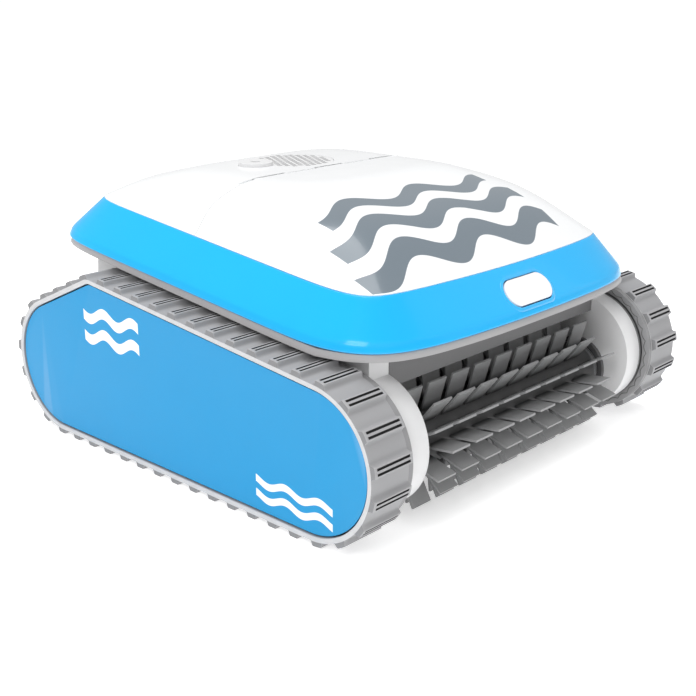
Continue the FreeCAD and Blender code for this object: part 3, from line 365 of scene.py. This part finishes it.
class CLEANER_OT_insides(bpy.types.Operator):
    """Finish the pieces inside the hull"""

    bl_idname = "cleaner.insides"
    bl_label = "Insides"

    def execute(self, context):
        dark = finish_of("inner_plastic", (0.05, 0.052, 0.056), 0.5)
        steel = finish_of("bright_steel", (0.62, 0.63, 0.65), 0.28, grain=(900, 0.1), Metallic=1.0)
        foam = finish_of("closed_foam", (0.80, 0.79, 0.75), 0.9, grain=(700, 0.8))
        mesh = finish_of("woven_mesh", (0.72, 0.76, 0.80), 0.8, grain=(1400, 1.0))
        board = finish_of("solder_mask", (0.02, 0.16, 0.07), 0.35)
        seal = finish_of("seal_rubber", (0.03, 0.03, 0.032), 0.7)
        basket = finish_of("basket_plastic", (0.30, 0.31, 0.32), 0.45)
        dress(dark, "propeller", "motor_housing", "motor_cap", "brush_core", "inlet_flap_left",
              "inlet_flap_right", "latch_keeper", "brush_cap_left", "brush_cap_right")
        dress(steel, "hinge_pin", "bottom_screws", "cover_screws", "front_axle_left",
              "front_axle_right", "idler_axle_left", "idler_axle_right", "pump_shaft",
              "drive_shaft_left", "drive_shaft_right", "latch_spring", "pump_motor",
              "drive_motor_left", "drive_motor_right")
        dress(foam, "foam_float_left", "foam_float_right")
        dress(mesh, "filter_mesh")
        dress(board, "circuit_board")
        dress(seal, "shaft_seal")
        dress(basket, "filter_basket", "belt_rail_left", "belt_rail_right", "front_wheel_left",
              "front_wheel_right", "rear_wheel_left", "rear_wheel_right", "idler_roller_left",
              "idler_roller_right")
        return {"FINISHED"}


class CLEANER_OT_lid(bpy.types.Operator):
    """Build the lid's band, door, rear cover, hinge barrels and button surround"""

    bl_idname = "cleaner.lid"
    bl_label = "Lid"

    def execute(self, context):
        c = colours()
        blue = finish_of("band_gloss", c.band_blue, 0.16, grain=(400, 0.01),
                         Coat_Weight=0.3, Specular_IOR_Level=0.3)
        white = finish_of("crown_gloss", c.crown_white, 0.22, grain=(400, 0.01), Coat_Weight=0.3)
        printed = finish_of("door_gloss", c.crown_white, 0.22, grain=(400, 0.01), Coat_Weight=0.3)
        print_waves(printed, c.stripe_grey, "XY", DOOR_WAVES)
        self.band(blue)
        self.crown(printed, white)
        self.surround(blue)
        dress(white, "latch_button")
        soften(0.0008, "latch_button")
        return {"FINISHED"}

    def band(self, blue):
        levels = [(0.0, 0.7), (0.006, 0.25), (0.02, 0.05), (0.045, 0), (0.08, 0), (0.12, 0), (0.16, 0),
                  (0.2, 0), (0.25, 0), (0.3, 0), (0.37, 0), (0.45, 0), (0.55, 0), (0.65, 0),
                  (0.75, 0), (0.85, 0), (0.93, 0), (0.98, 0), (0.993, 0.12), (1.0, 0.45)]
        levels += [(1.0, 2.4), (0.7, 2.6), (0.4, 2.6), (0.15, 2.6), (0.0, 2.4)]
        rows = [band_ring(share, inset) for share, inset in levels]
        points = [point for row in rows for point in row]
        faces = ring_faces(len(rows), len(rows[0]), closed_rows=True)
        band = make_piece("lid_band", points, faces, [blue], "chassis", 50)
        ring = button_outline(0.9)
        count = len(ring)
        cutter = [face_point(x, v, out) for out in (-12, 12) for x, v in ring]
        shut = ring_faces(2, count) + [tuple(range(count))[::-1], tuple(range(count, 2 * count))]
        carve(band, cutter, shut)
        tidy_mesh(band.data, 50)
        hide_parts("top_frame")

    def crown(self, printed, white):
        door = crown_half("filter_door", True, printed, "front_door")
        carve(door, *along_x(barrel_spans(1, -0.2), HINGE["sweep"]))
        round_edges(door, 0.35)
        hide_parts("front_door")
        cover = crown_half("tail_cover", False, white, "chassis")
        carve(cover, *along_x(barrel_spans(0, -0.2), HINGE["sweep"]))
        carve(cover, *quarter_x(-HINGE["reach"], -HINGE["half"], HINGE["relief"]))
        carve(cover, *quarter_x(HINGE["half"], HINGE["reach"], HINGE["relief"]))
        for x, y, radius in ((0, 64.7, 34.4), (-38, 69, 14.2)):
            carve(cover, *drum((x, y, 190), (0, 0, 1), radius, 40, 96))
        round_edges(cover, 0.35)
        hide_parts("rear_cover")
        barrel_rows = (("door_barrels", 0, "front_door"), ("cover_barrels", 1, "chassis"))
        for name, first, body in barrel_rows:
            barrels = make_piece(name, *along_x(barrel_spans(first, 0.2), HINGE["barrel"]), [white],
                                 body)
            round_edges(barrels, 0.4)

    def surround(self, blue):
        section = [(1.0, -1.2), (1.0, 0.1), (1.25, 0.5), (1.8, 0.72), (2.5, 0.5), (3.4, 0.05),
                   (4.0, -0.6)]
        points = []
        for grow, out in section:
            points += [face_point(x, v, out) for x, v in button_outline(grow)]
        count = len(button_outline(0))
        faces = ring_faces(len(section), count, closed_rows=True)
        ring = make_piece("button_surround", points, faces, [blue], "chassis", 60)


class CLEANER_OT_tracks(bpy.types.Operator):
    """Build the belts and finish the side covers and the brush"""

    bl_idname = "cleaner.tracks"
    bl_label = "Tracks and brush"

    def execute(self, context):
        c = colours()
        belt = finish_of("belt_rubber", c.belt_grey, 0.62, grain=(1500, 0.4))
        edge = finish_of("belt_edge", tint(c.belt_grey, 1.3)[:3], 0.6, grain=(1500, 0.3))
        # Painted shade: near-black for the lugs' grooves and the flange's scallops.
        groove = finish_of("belt_groove_shade", tint(c.belt_grey, 0.12)[:3], 0.8, grain=(1500, 0.3))
        teeth = finish_of("belt_teeth_rubber", tint(c.belt_grey, 0.62)[:3], 0.6, grain=(1500, 0.3))
        ends = finish_of("belt_lug_ends", tint(c.belt_grey, 0.6)[:3], 0.6, grain=(1500, 0.3))
        cover = finish_of("cover_satin", c.cover_blue, 0.34, grain=(600, 0.03),
                          Specular_IOR_Level=0.2)
        print_waves(cover, c.crown_white, "YZ", COVER_WAVES)
        blade = finish_of("blade_rubber", c.blade_grey, 0.5, grain=(1500, 0.3))
        for word, side in SIDES.items():
            make_belt(side, word, [belt, edge, ends, groove])
            make_teeth(side, word, [teeth, groove])
        dress(cover, "side_cover_left", "side_cover_right")
        soften(0.0007, "side_cover_left", "side_cover_right")
        dress(blade, "brush_blades")
        # Painted shade on the blades, darkest near the brush's core.
        axis = (0, BRUSH["y"] * MM, BRUSH["z"] * MM)
        paint_shade_near_axis(blade, axis, BRUSH["dark"] * MM, BRUSH["clear"] * MM)
        return {"FINISHED"}


# ---------------------------------------------------------------- mesh helpers
def make_piece(name, points, faces, materials, body, sharp=35, indices=None):
    """A smooth-shaded mesh object, in metres, that rides on a body."""
    mesh = bpy.data.meshes.new(name)
    mesh.from_pydata([tuple(v * MM for v in point) for point in points], [], faces)
    for material in materials:
        mesh.materials.append(material)
    if indices:
        mesh.polygons.foreach_set("material_index", indices)
    tidy_mesh(mesh, sharp)
    item = bpy.data.objects.new(name, mesh)
    bpy.context.scene.collection.objects.link(item)
    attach(item, body)
    return item


def tidy_mesh(mesh, sharp):
    """Weld doubled corners, drop flat faces, point the faces outwards and mark sharp edges."""
    shape = bmesh.new()
    shape.from_mesh(mesh)
    bmesh.ops.remove_doubles(shape, verts=shape.verts, dist=0.000004)
    bmesh.ops.dissolve_degenerate(shape, edges=shape.edges, dist=0.000002)
    bmesh.ops.recalc_face_normals(shape, faces=shape.faces)
    shape.to_mesh(mesh)
    shape.free()
    mesh.shade_smooth()
    mesh.set_sharp_from_angle(angle=math.radians(sharp))


def ring_faces(rows, count, closed_rows=False, start=0):
    """Quads between closed rows of points; closed_rows joins the last row to the first."""
    faces = []
    for row in range(rows if closed_rows else rows - 1):
        low = start + row * count
        high = start + ((row + 1) % rows) * count
        for step in range(count):
            after = (step + 1) % count
            faces.append((low + step, low + after, high + after, high + step))
    return faces


def carve(item, points, faces):
    """Cut a closed shape out of a piece."""
    mesh = bpy.data.meshes.new("cutter")
    mesh.from_pydata([tuple(v * MM for v in point) for point in points], [], faces)
    tidy_mesh(mesh, 30)
    cutter = bpy.data.objects.new("cutter", mesh)
    bpy.context.scene.collection.objects.link(cutter)
    cut = item.modifiers.new("cut", "BOOLEAN")
    cut.object = cutter
    cut.solver = "EXACT"
    bpy.context.view_layer.update()
    graph = bpy.context.evaluated_depsgraph_get()
    item.data = bpy.data.meshes.new_from_object(item.evaluated_get(graph))
    item.modifiers.clear()
    bpy.data.objects.remove(cutter)


def drum(centre, axis, radius, length, sides=48):
    """Points and faces of a cylinder that starts at a centre and runs along an axis."""
    turn = Vector((0, 0, 1)).rotation_difference(Vector(axis)).to_matrix()
    points = []
    for level in (0, length):
        for step in range(sides):
            angle = 2 * math.pi * step / sides
            spot = Vector((radius * math.cos(angle), radius * math.sin(angle), level))
            points.append(tuple(turn @ spot + Vector(centre)))
    faces = ring_faces(2, sides)
    faces += [tuple(range(sides))[::-1], tuple(range(sides, 2 * sides))]
    return points, faces


def soft_max(a, b, reach):
    """The larger of two values, rounded over where they meet."""
    gap = max(min((a - b) / reach, 40), -40)
    return b + reach * math.log(1 + math.exp(gap))


# ---------------------------------------------------------------- lid
LID = {
    "half": 169.0, "front": -184.8, "rear": 174.0, "powers": (7, 10),
    "border_half": 143.7, "border_front": -160.0, "border_rear": 150.0, "border_powers": (13, 13),
    "bow": 10.5, "bulge": 2.9, "bulge_at": 0.19, "wall": 2.6, "seam": 22.0, "gap": 0.5,
}
LID_STEPS = 64


def outline(half, front, rear, powers, bow, grow=0):
    """A squared oval in plan, evenly spaced, bowed out in front: powers are (front, rear)."""
    half, front, rear = half + grow, front - grow, rear + grow
    middle = (front + rear) / 2
    length = (rear - front) / 2
    ring = []
    for quarter in range(4):
        power = powers[1] if quarter < 2 else powers[0]
        dense = []
        for step in range(301):
            angle = math.radians(90 * (quarter + step / 300))
            c, s = math.cos(angle), math.sin(angle)
            reach = (abs(c / half) ** power + abs(s / length) ** power) ** (-1 / power)
            x, y = reach * c, reach * s
            if s < 0:
                y -= bow * (x / half) ** 2 * y / length
            dense.append((x, middle + y))
        travelled = [0.0]
        for a, b in zip(dense, dense[1:]):
            travelled.append(travelled[-1] + math.dist(a, b))
        at = 0
        for step in range(LID_STEPS):
            goal = travelled[-1] * step / LID_STEPS
            while travelled[at + 1] < goal:
                at += 1
            share = (goal - travelled[at]) / (travelled[at + 1] - travelled[at])
            ring.append(tuple(p + share * (q - p) for p, q in zip(dense[at], dense[at + 1])))
    return ring


def edge_z(y):
    """Height of the band's lower edge: flat in front, then rising to the rear."""
    return soft_max(126.4, 140.5 + 0.1135 * y, 1.2)


def border_z(y):
    """Height of the colour border: flat in front, then rising to the rear."""
    return soft_max(158.2, 171.8 + 0.115 * y, 1.5)


def band_ring(share, inset):
    """One closed ring of the band's wall: share runs from its lower edge to the border."""
    below = outline(LID["half"], LID["front"], LID["rear"], LID["powers"], LID["bow"])
    above = outline(LID["border_half"], LID["border_front"], LID["border_rear"],
                    LID["border_powers"], LID["bow"])
    rise = share / LID["bulge_at"]
    fall = (1 - share) / (1 - LID["bulge_at"])
    swell = LID["bulge"] * -soft_max(-rise, -fall, 0.13)
    ring = []
    for (x0, y0), (x1, y1) in zip(below, above):
        x = x0 + share * (x1 - x0)
        y = y0 + share * (y1 - y0)
        away = Vector((x0 - x1, y0 - y1)).normalized() * (swell - inset)
        z0, z1 = edge_z(y0), border_z(y1)
        ring.append((x + away.x, y + away.y, z0 + share * (z1 - z0)))
    return ring


def face_point(across, along, out):
    """A point given across, along and out from the latch button's sloping face."""
    angle = math.radians(47.5)
    return (across, -174.3 + along * math.cos(angle) - out * math.sin(angle),
            142.0 + along * math.sin(angle) + out * math.cos(angle))


BUTTON = {"half": 26.0, "tall": 10.6, "flat": 17.0}


def button_outline(grow):
    """The latch button's outline: flat top and bottom, bulged ends, rounded corners."""
    half, tall = BUTTON["half"] + grow, BUTTON["tall"] + grow
    flat = BUTTON["flat"] + grow * 0.6
    depth = half - flat
    radius = (depth * depth + tall * tall) / (2 * depth)
    swing = math.asin(tall / radius)
    dense = []
    for step in range(60):
        angle = -swing + 2 * swing * step / 60
        dense.append((half - radius + radius * math.cos(angle), radius * math.sin(angle)))
    dense += [(flat - 2 * flat * step / 40, tall) for step in range(40)]
    for step in range(60):
        angle = math.pi - swing + 2 * swing * step / 60
        dense.append((radius - half + radius * math.cos(angle), radius * math.sin(angle)))
    dense += [(-flat + 2 * flat * step / 40, -tall) for step in range(40)]
    for _ in range(6):
        around = zip(dense[-1:] + dense[:-1], dense, dense[1:] + dense[:1])
        dense = [((a[0] + 2 * b[0] + c[0]) / 4, (a[1] + 2 * b[1] + c[1]) / 4) for a, b, c in around]
    return dense


# Each level of the crown: half width, front, rear, height, tilt, squareness and bow.
CROWN_SECTIONS = (
    (126, -115.3, 138, 193.5, 0.05, 6, 8),
    (103, -60.3, 122, 204.5, 0.01, 5, 5),
    (84, -38.3, 108, 208.5, 0, 4.5, 3),
    (56, -14.3, 86, 209.5, 0, 3.5, 1),
)
CROWN_TOP = {"y": 36, "z": 209.8, "shrink": 0.05}


def crown_columns():
    """Rows of the crown's outer face, from the border up to the middle of the top."""
    sections = [
        [(x, y, border_z(y) + 0.6) for x, y in outline(
            LID["border_half"], LID["border_front"], LID["border_rear"], LID["border_powers"],
            LID["bow"], -0.3)],
    ]
    for half, front, rear, z, tilt, power, bow in CROWN_SECTIONS:
        ring = outline(half, front, rear, (power, power), bow)
        sections.append([(x, y, z + tilt * y) for x, y in ring])
    middle, shrink = CROWN_TOP["y"], CROWN_TOP["shrink"]
    sections.append([(x * shrink, middle + (y - middle) * shrink, CROWN_TOP["z"])
                     for x, y, _ in sections[-1]])
    steps = 7
    rows = []
    for index in range(len(sections) - 1):
        before = sections[max(index - 1, 0)]
        here, after = sections[index], sections[index + 1]
        beyond = sections[min(index + 2, len(sections) - 1)]
        for step in range(steps):
            t = step / steps
            row = []
            for p0, p1, p2, p3 in zip(before, here, after, beyond):
                p0, p1, p2, p3 = map(Vector, (p0, p1, p2, p3))
                a = (p1 - p0).length or (p2 - p1).length
                b = (p2 - p1).length
                c = (p3 - p2).length or b
                m1 = (p2 - p0) * (b / (a + b)) if p0 != p1 else (p2 - p1)
                m2 = (p3 - p1) * (b / (b + c)) if p3 != p2 else (p2 - p1)
                row.append(tuple(
                    (2 * t**3 - 3 * t**2 + 1) * p1 + (t**3 - 2 * t**2 + t) * m1
                    + (-2 * t**3 + 3 * t**2) * p2 + (t**3 - t**2) * m2))
            rows.append(row)
    rows.append(sections[-1])
    return rows


def crown_half(name, front, material, body):
    """The crown's shell on one side of the seam, with its wall's thickness."""
    rows = crown_columns()
    count = len(rows[0])
    points = [point for row in rows for point in row]
    faces = ring_faces(len(rows), count)
    faces.append(tuple(range((len(rows) - 1) * count, len(rows) * count)))
    item = make_piece(name, points, faces, [material], body, 60)
    shape = bmesh.new()
    shape.from_mesh(item.data)
    seam = (LID["seam"] + (-1 if front else 1) * LID["gap"] / 2) * MM
    bmesh.ops.bisect_plane(
        shape, geom=shape.verts[:] + shape.edges[:] + shape.faces[:], dist=0.000001,
        plane_co=(0, seam, 0), plane_no=(0, 1 if front else -1, 0), clear_outer=True)
    shape.to_mesh(item.data)
    shape.free()
    wall = item.modifiers.new("wall", "SOLIDIFY")
    wall.thickness = LID["wall"] * MM
    wall.offset = -1
    wall.use_even_offset = True
    wall.use_quality_normals = True
    graph = bpy.context.evaluated_depsgraph_get()
    item.data = bpy.data.meshes.new_from_object(item.evaluated_get(graph))
    item.modifiers.clear()
    return item


HINGE = {"y": 22.0, "z": 206.2, "half": 82.0, "barrel": 3.0, "sweep": 4.3, "count": 5,
         "relief": 3.7, "reach": 120.0}


def barrel_spans(first, gap):
    """x spans of every second hinge barrel."""
    pitch = 2 * HINGE["half"] / HINGE["count"]
    lows = [-HINGE["half"] + index * pitch for index in range(first, HINGE["count"], 2)]
    return [(low + gap, low + pitch - gap) for low in lows]


def along_x(spans, radius, sides=48):
    """Cylinders on the hinge's axis, one for each span."""
    points, faces = [], []
    for x0, x1 in spans:
        more, shut = drum((x0, HINGE["y"], HINGE["z"]), (1, 0, 0), radius, x1 - x0, sides)
        faces += [tuple(index + len(points) for index in face) for face in shut]
        points += more
    return points, faces


def quarter_x(x0, x1, radius, steps=24):
    """A quarter cylinder on the hinge's axis, above and behind it."""
    y, z = HINGE["y"], HINGE["z"]
    section = [(y - 1, z), (y + radius, z)]
    for step in range(1, steps):
        angle = math.pi / 2 * step / steps
        section.append((y + radius * math.cos(angle), z + radius * math.sin(angle)))
    section += [(y, z + radius), (y - 1, z + radius)]
    count = len(section)
    points = [(x, *spot) for x in (x0, x1) for spot in section]
    ends = [tuple(range(count))[::-1], tuple(range(count, 2 * count))]
    return points, ring_faces(2, count) + ends


def round_edges(item, width, angle=40, segments=2):
    """A small round on a piece's sharp edges."""
    bevel = item.modifiers.new("round", "BEVEL")
    bevel.width = width * MM
    bevel.segments = segments
    bevel.limit_method = "ANGLE"
    bevel.angle_limit = math.radians(angle)
    bevel.harden_normals = True


# ---------------------------------------------------------------- belts
TRACK = {"wheel_base": 280.6, "axle_z": 58.5, "band_radius": 54.7, "idler_y": 91.4,
         "idler_z": 123.5, "idler_radius": 15.0, "band": 3.5, "lugs": 43, "phase": 0.70,
         "outboard": 191.5, "inboard": 155.5, "flange": 151.0}
# Half of a lug's section along the belt: place, height and how deep its groove is there.
LUG_REACH = 5.9
LUG_SIDE = [(-LUG_REACH, 0, 0), (-5.0, 0.3, 0), (-4.3, 1.1, 0), (-3.85, 2.5, 0),
            (-3.6, 3.35, 0), (-3.2, 3.8, 0), (-2.4, 3.8, 0), (-2.2, 3.8, 1.6), (-1.0, 3.8, 1.6),
            (-0.8, 3.8, 0)]


def track_pieces():
    """The band's outer path as runs (start, end, normal) and wraps (y, z, radius, normal, turn)."""
    half = TRACK["wheel_base"] / 2
    circles = [(-half, TRACK["axle_z"], TRACK["band_radius"]),
               (half, TRACK["axle_z"], TRACK["band_radius"]),
               (TRACK["idler_y"], TRACK["idler_z"], TRACK["idler_radius"])]
    runs = []
    for index, (y0, z0, r0) in enumerate(circles):
        y1, z1, r1 = circles[(index + 1) % 3]
        normal = math.atan2(z1 - z0, y1 - y0) - math.pi / 2
        normal += math.asin((r0 - r1) / math.dist((y0, z0), (y1, z1)))
        start = (y0 + r0 * math.cos(normal), z0 + r0 * math.sin(normal))
        end = (y1 + r1 * math.cos(normal), z1 + r1 * math.sin(normal))
        runs.append((start, end, normal))
    pieces = []
    for index, (start, end, normal) in enumerate(runs):
        y1, z1, r1 = circles[(index + 1) % 3]
        turn = (runs[(index + 1) % 3][2] - normal) % (2 * math.pi)
        pieces.append((math.dist(start, end), 1.0, (start, end, normal)))
        inner = r1 - TRACK["band"]
        pieces.append((inner * turn, inner / r1, (y1, z1, r1, normal, turn)))
    return pieces


def track_point(pieces, travel):
    """Place, normal angle and pace on the band's outer face, at a travel along its inner face."""
    travel %= sum(length for length, _, _ in pieces)
    for length, pace, data in pieces:
        if travel <= length:
            break
        travel -= length
    if len(data) == 3:
        (y0, z0), (y1, z1), normal = data
        share = travel / length
        return y0 + share * (y1 - y0), z0 + share * (z1 - z0), normal, pace
    y, z, radius, start, turn = data
    normal = start + turn * travel / length
    return y + radius * math.cos(normal), z + radius * math.sin(normal), normal, pace


def belt_samples():
    """Travel, lug height and groove depth around the belt."""
    pieces = track_pieces()
    total = sum(length for length, _, _ in pieces)
    pitch = total / TRACK["lugs"]
    samples = []
    for index in range(TRACK["lugs"]):
        middle = (index + TRACK["phase"]) * pitch
        pace = track_point(pieces, middle)[3]
        profile = LUG_SIDE + [(-u, h, groove) for u, h, groove in LUG_SIDE[::-1]]
        samples += [(middle + u * pace, h, groove) for u, h, groove in profile]
        after = middle + LUG_REACH * pace
        room = pitch - 2 * LUG_REACH * pace
        samples += [(after + room * step / 5, 0, 0) for step in range(1, 5)]
    return pieces, samples


def make_belt(side, word, materials):
    """A belt with grooved lugs; its materials are for the face, edge, lug ends and grooves, the last a
    near-black painted shade.
    """
    pieces, samples = belt_samples()
    outboard, inboard, soft, closed = TRACK["outboard"], TRACK["inboard"], 0.7, 2.4
    points, indices = [], []
    for travel, height, groove in samples:
        y, z, normal, _ = track_point(pieces, travel)
        low = max(height - soft, 0)
        mid = max(height - soft * 0.3, 0)
        section = [
            (outboard - 0.5, -TRACK["band"]), (outboard, 0.5 - TRACK["band"]), (outboard, 0),
            (outboard, low), (outboard - soft * 0.3, mid), (outboard - soft, height),
            (outboard - closed, height), (outboard - closed - 0.5, height - groove),
            (inboard + closed + 0.5, height - groove), (inboard + closed, height),
            (inboard + soft, height), (inboard + soft * 0.3, mid), (inboard, low), (inboard, 0),
            (inboard, 0.5 - TRACK["band"]), (inboard + 0.5, -TRACK["band"]),
        ]
        for x, out in section:
            points.append((side * x, y + out * math.cos(normal), z + out * math.sin(normal)))
    count = 16
    kinds = [1, 1, 2, 2, 0, 0, 3, 3, 3, 0, 0, 2, 2, 1, 1, 0]
    faces = []
    for row in range(len(samples)):
        low, high = row * count, ((row + 1) % len(samples)) * count
        # Faces in a lug's groove take the groove material, which is painted shade.
        grooved = samples[row][2] + samples[(row + 1) % len(samples)][2] > 0
        for step in range(count):
            after = (step + 1) % count
            faces.append((low + step, low + after, high + after, high + step))
            indices.append(kinds[step] if grooved or kinds[step] < 3 else 0)
    belt = make_piece(f"crawler_belt_{word}", points, faces, materials, "chassis", 32, indices)
    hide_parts(f"track_belt_{word}")


def make_ring(side, word, title, material, corners):
    """A closed ring that follows the belt: corners gives a section for each step round it."""
    pieces = track_pieces()
    total = sum(length for length, _, _ in pieces)
    sides = 8
    steps = 2 * sides * TRACK["lugs"]
    points = []
    for index in range(steps):
        y, z, normal, _ = track_point(pieces, total * index / steps)
        for x, out in corners(abs(math.sin(math.pi * index / sides))):
            points.append((side * x, y + out * math.cos(normal), z + out * math.sin(normal)))
    faces = ring_faces(steps, 4, closed_rows=True)
    ring = make_piece(f"belt_{title}_{word}", points, faces, [material], "chassis", 50)


def make_teeth(side, word, materials):
    """The belt's inboard flange, and thin near-black strips on it that are painted shade for its row
    of small scallops.
    """
    plain, dark = materials
    outer, inner = TRACK["inboard"], TRACK["flange"]

    def flange(_):
        return [(outer, -0.4), (inner, -0.4), (inner, -6.6), (outer, -6.6)]

    def scallop_shade_strip(swing):
        high, low = -2.6 - 2.0 * swing, -3.3 - 2.0 * swing
        return [(inner + 0.3, high), (inner - 0.1, high), (inner - 0.1, low), (inner + 0.3, low)]

    make_ring(side, word, "flange", plain, flange)
    # The scallops are painted shade: dark strips where their shade falls.
    make_ring(side, word, "scallops", dark, scallop_shade_strip)


# ---------------------------------------------------------------- stage
class CLEANER_OT_stage(bpy.types.Operator):
    """Lay the floor, hang the lights and set the camera"""

    bl_idname = "cleaner.stage"
    bl_label = "Stage"

    def execute(self, context):
        scene = context.scene
        floor_mesh = bpy.data.meshes.new("floor")
        reach = 60.0
        floor_mesh.from_pydata(
            [(-reach, -reach, 0), (reach, -reach, 0), (reach, reach, 0), (-reach, reach, 0)], [],
            [(0, 1, 2, 3)]
        )
        floor = bpy.data.objects.new("floor", floor_mesh)
        scene.collection.objects.link(floor)
        paint = finish_of("floor_paint", (0.95, 0.95, 0.95), 0.6, grain=(200, 0.02),
                          Emission_Color=(1, 1, 1, 1), Emission_Strength=0.48)
        floor_mesh.materials.append(paint)
        world = bpy.data.worlds.new("studio")
        world.use_nodes = True
        world.node_tree.nodes["Background"].inputs["Color"].default_value = (1, 1, 1, 1)
        world.node_tree.nodes["Background"].inputs["Strength"].default_value = 0.6
        scene.world = world
        lights = [
            ("key_light", (-1.7, -0.5, 1.5), 1.1, 15, (0, 0, 0.1)),
            ("fill_light", (1.6, -1.4, 1.2), 1.6, 2, (0, 0, 0.1)),
            ("top_light", (0.1, 0.3, 2.2), 1.6, 24, (0, 0, 0.1)),
        ]
        for name, at, size, power, aim in lights:
            data = bpy.data.lights.new(name, "AREA")
            data.size = size
            data.energy = power
            lamp = bpy.data.objects.new(name, data)
            lamp.location = at
            lamp.rotation_euler = (Vector(aim) - Vector(at)).to_track_quat("-Z", "Y").to_euler()
            scene.collection.objects.link(lamp)
        camera_data = bpy.data.cameras.new("camera")
        camera_data.lens = 58.66
        camera_data.clip_start = 0.01
        camera = bpy.data.objects.new("camera", camera_data)
        camera.location = (-0.66418, -0.61396, 0.35383)
        camera.rotation_euler = (math.radians(90 - 18.049), 0, math.radians(-47.164))
        scene.collection.objects.link(camera)
        scene.camera = camera
        scene.view_settings.view_transform = "Standard"
        return {"FINISHED"}


class CLEANER_PT_panel(bpy.types.Panel):
    """The cleaner's pieces and their colours"""

    bl_label = "Pool Cleaner"
    bl_idname = "CLEANER_PT_panel"
    bl_space_type = "VIEW_3D"
    bl_region_type = "UI"
    bl_category = "Pool Cleaner"

    def draw(self, context):
        for name in CleanerColours.__annotations__:
            self.layout.prop(context.scene.cleaner_colours, name)
        for operator in OPERATORS:
            self.layout.operator(operator.bl_idname)


OPERATORS = (CLEANER_OT_stage, CLEANER_OT_housings, CLEANER_OT_insides, CLEANER_OT_lid,
             CLEANER_OT_tracks)
CLASSES = (CleanerColours, *OPERATORS, CLEANER_PT_panel)


def register():
    for item in CLASSES:
        bpy.utils.register_class(item)
    bpy.types.Scene.cleaner_colours = bpy.props.PointerProperty(type=CleanerColours)


def unregister():
    del bpy.types.Scene.cleaner_colours
    for item in reversed(CLASSES):
        bpy.utils.unregister_class(item)


def main():
    register()
    for operator in OPERATORS:
        group, name = operator.bl_idname.split(".")
        getattr(getattr(bpy.ops, group), name)()


if __name__ == "__main__":
    main()
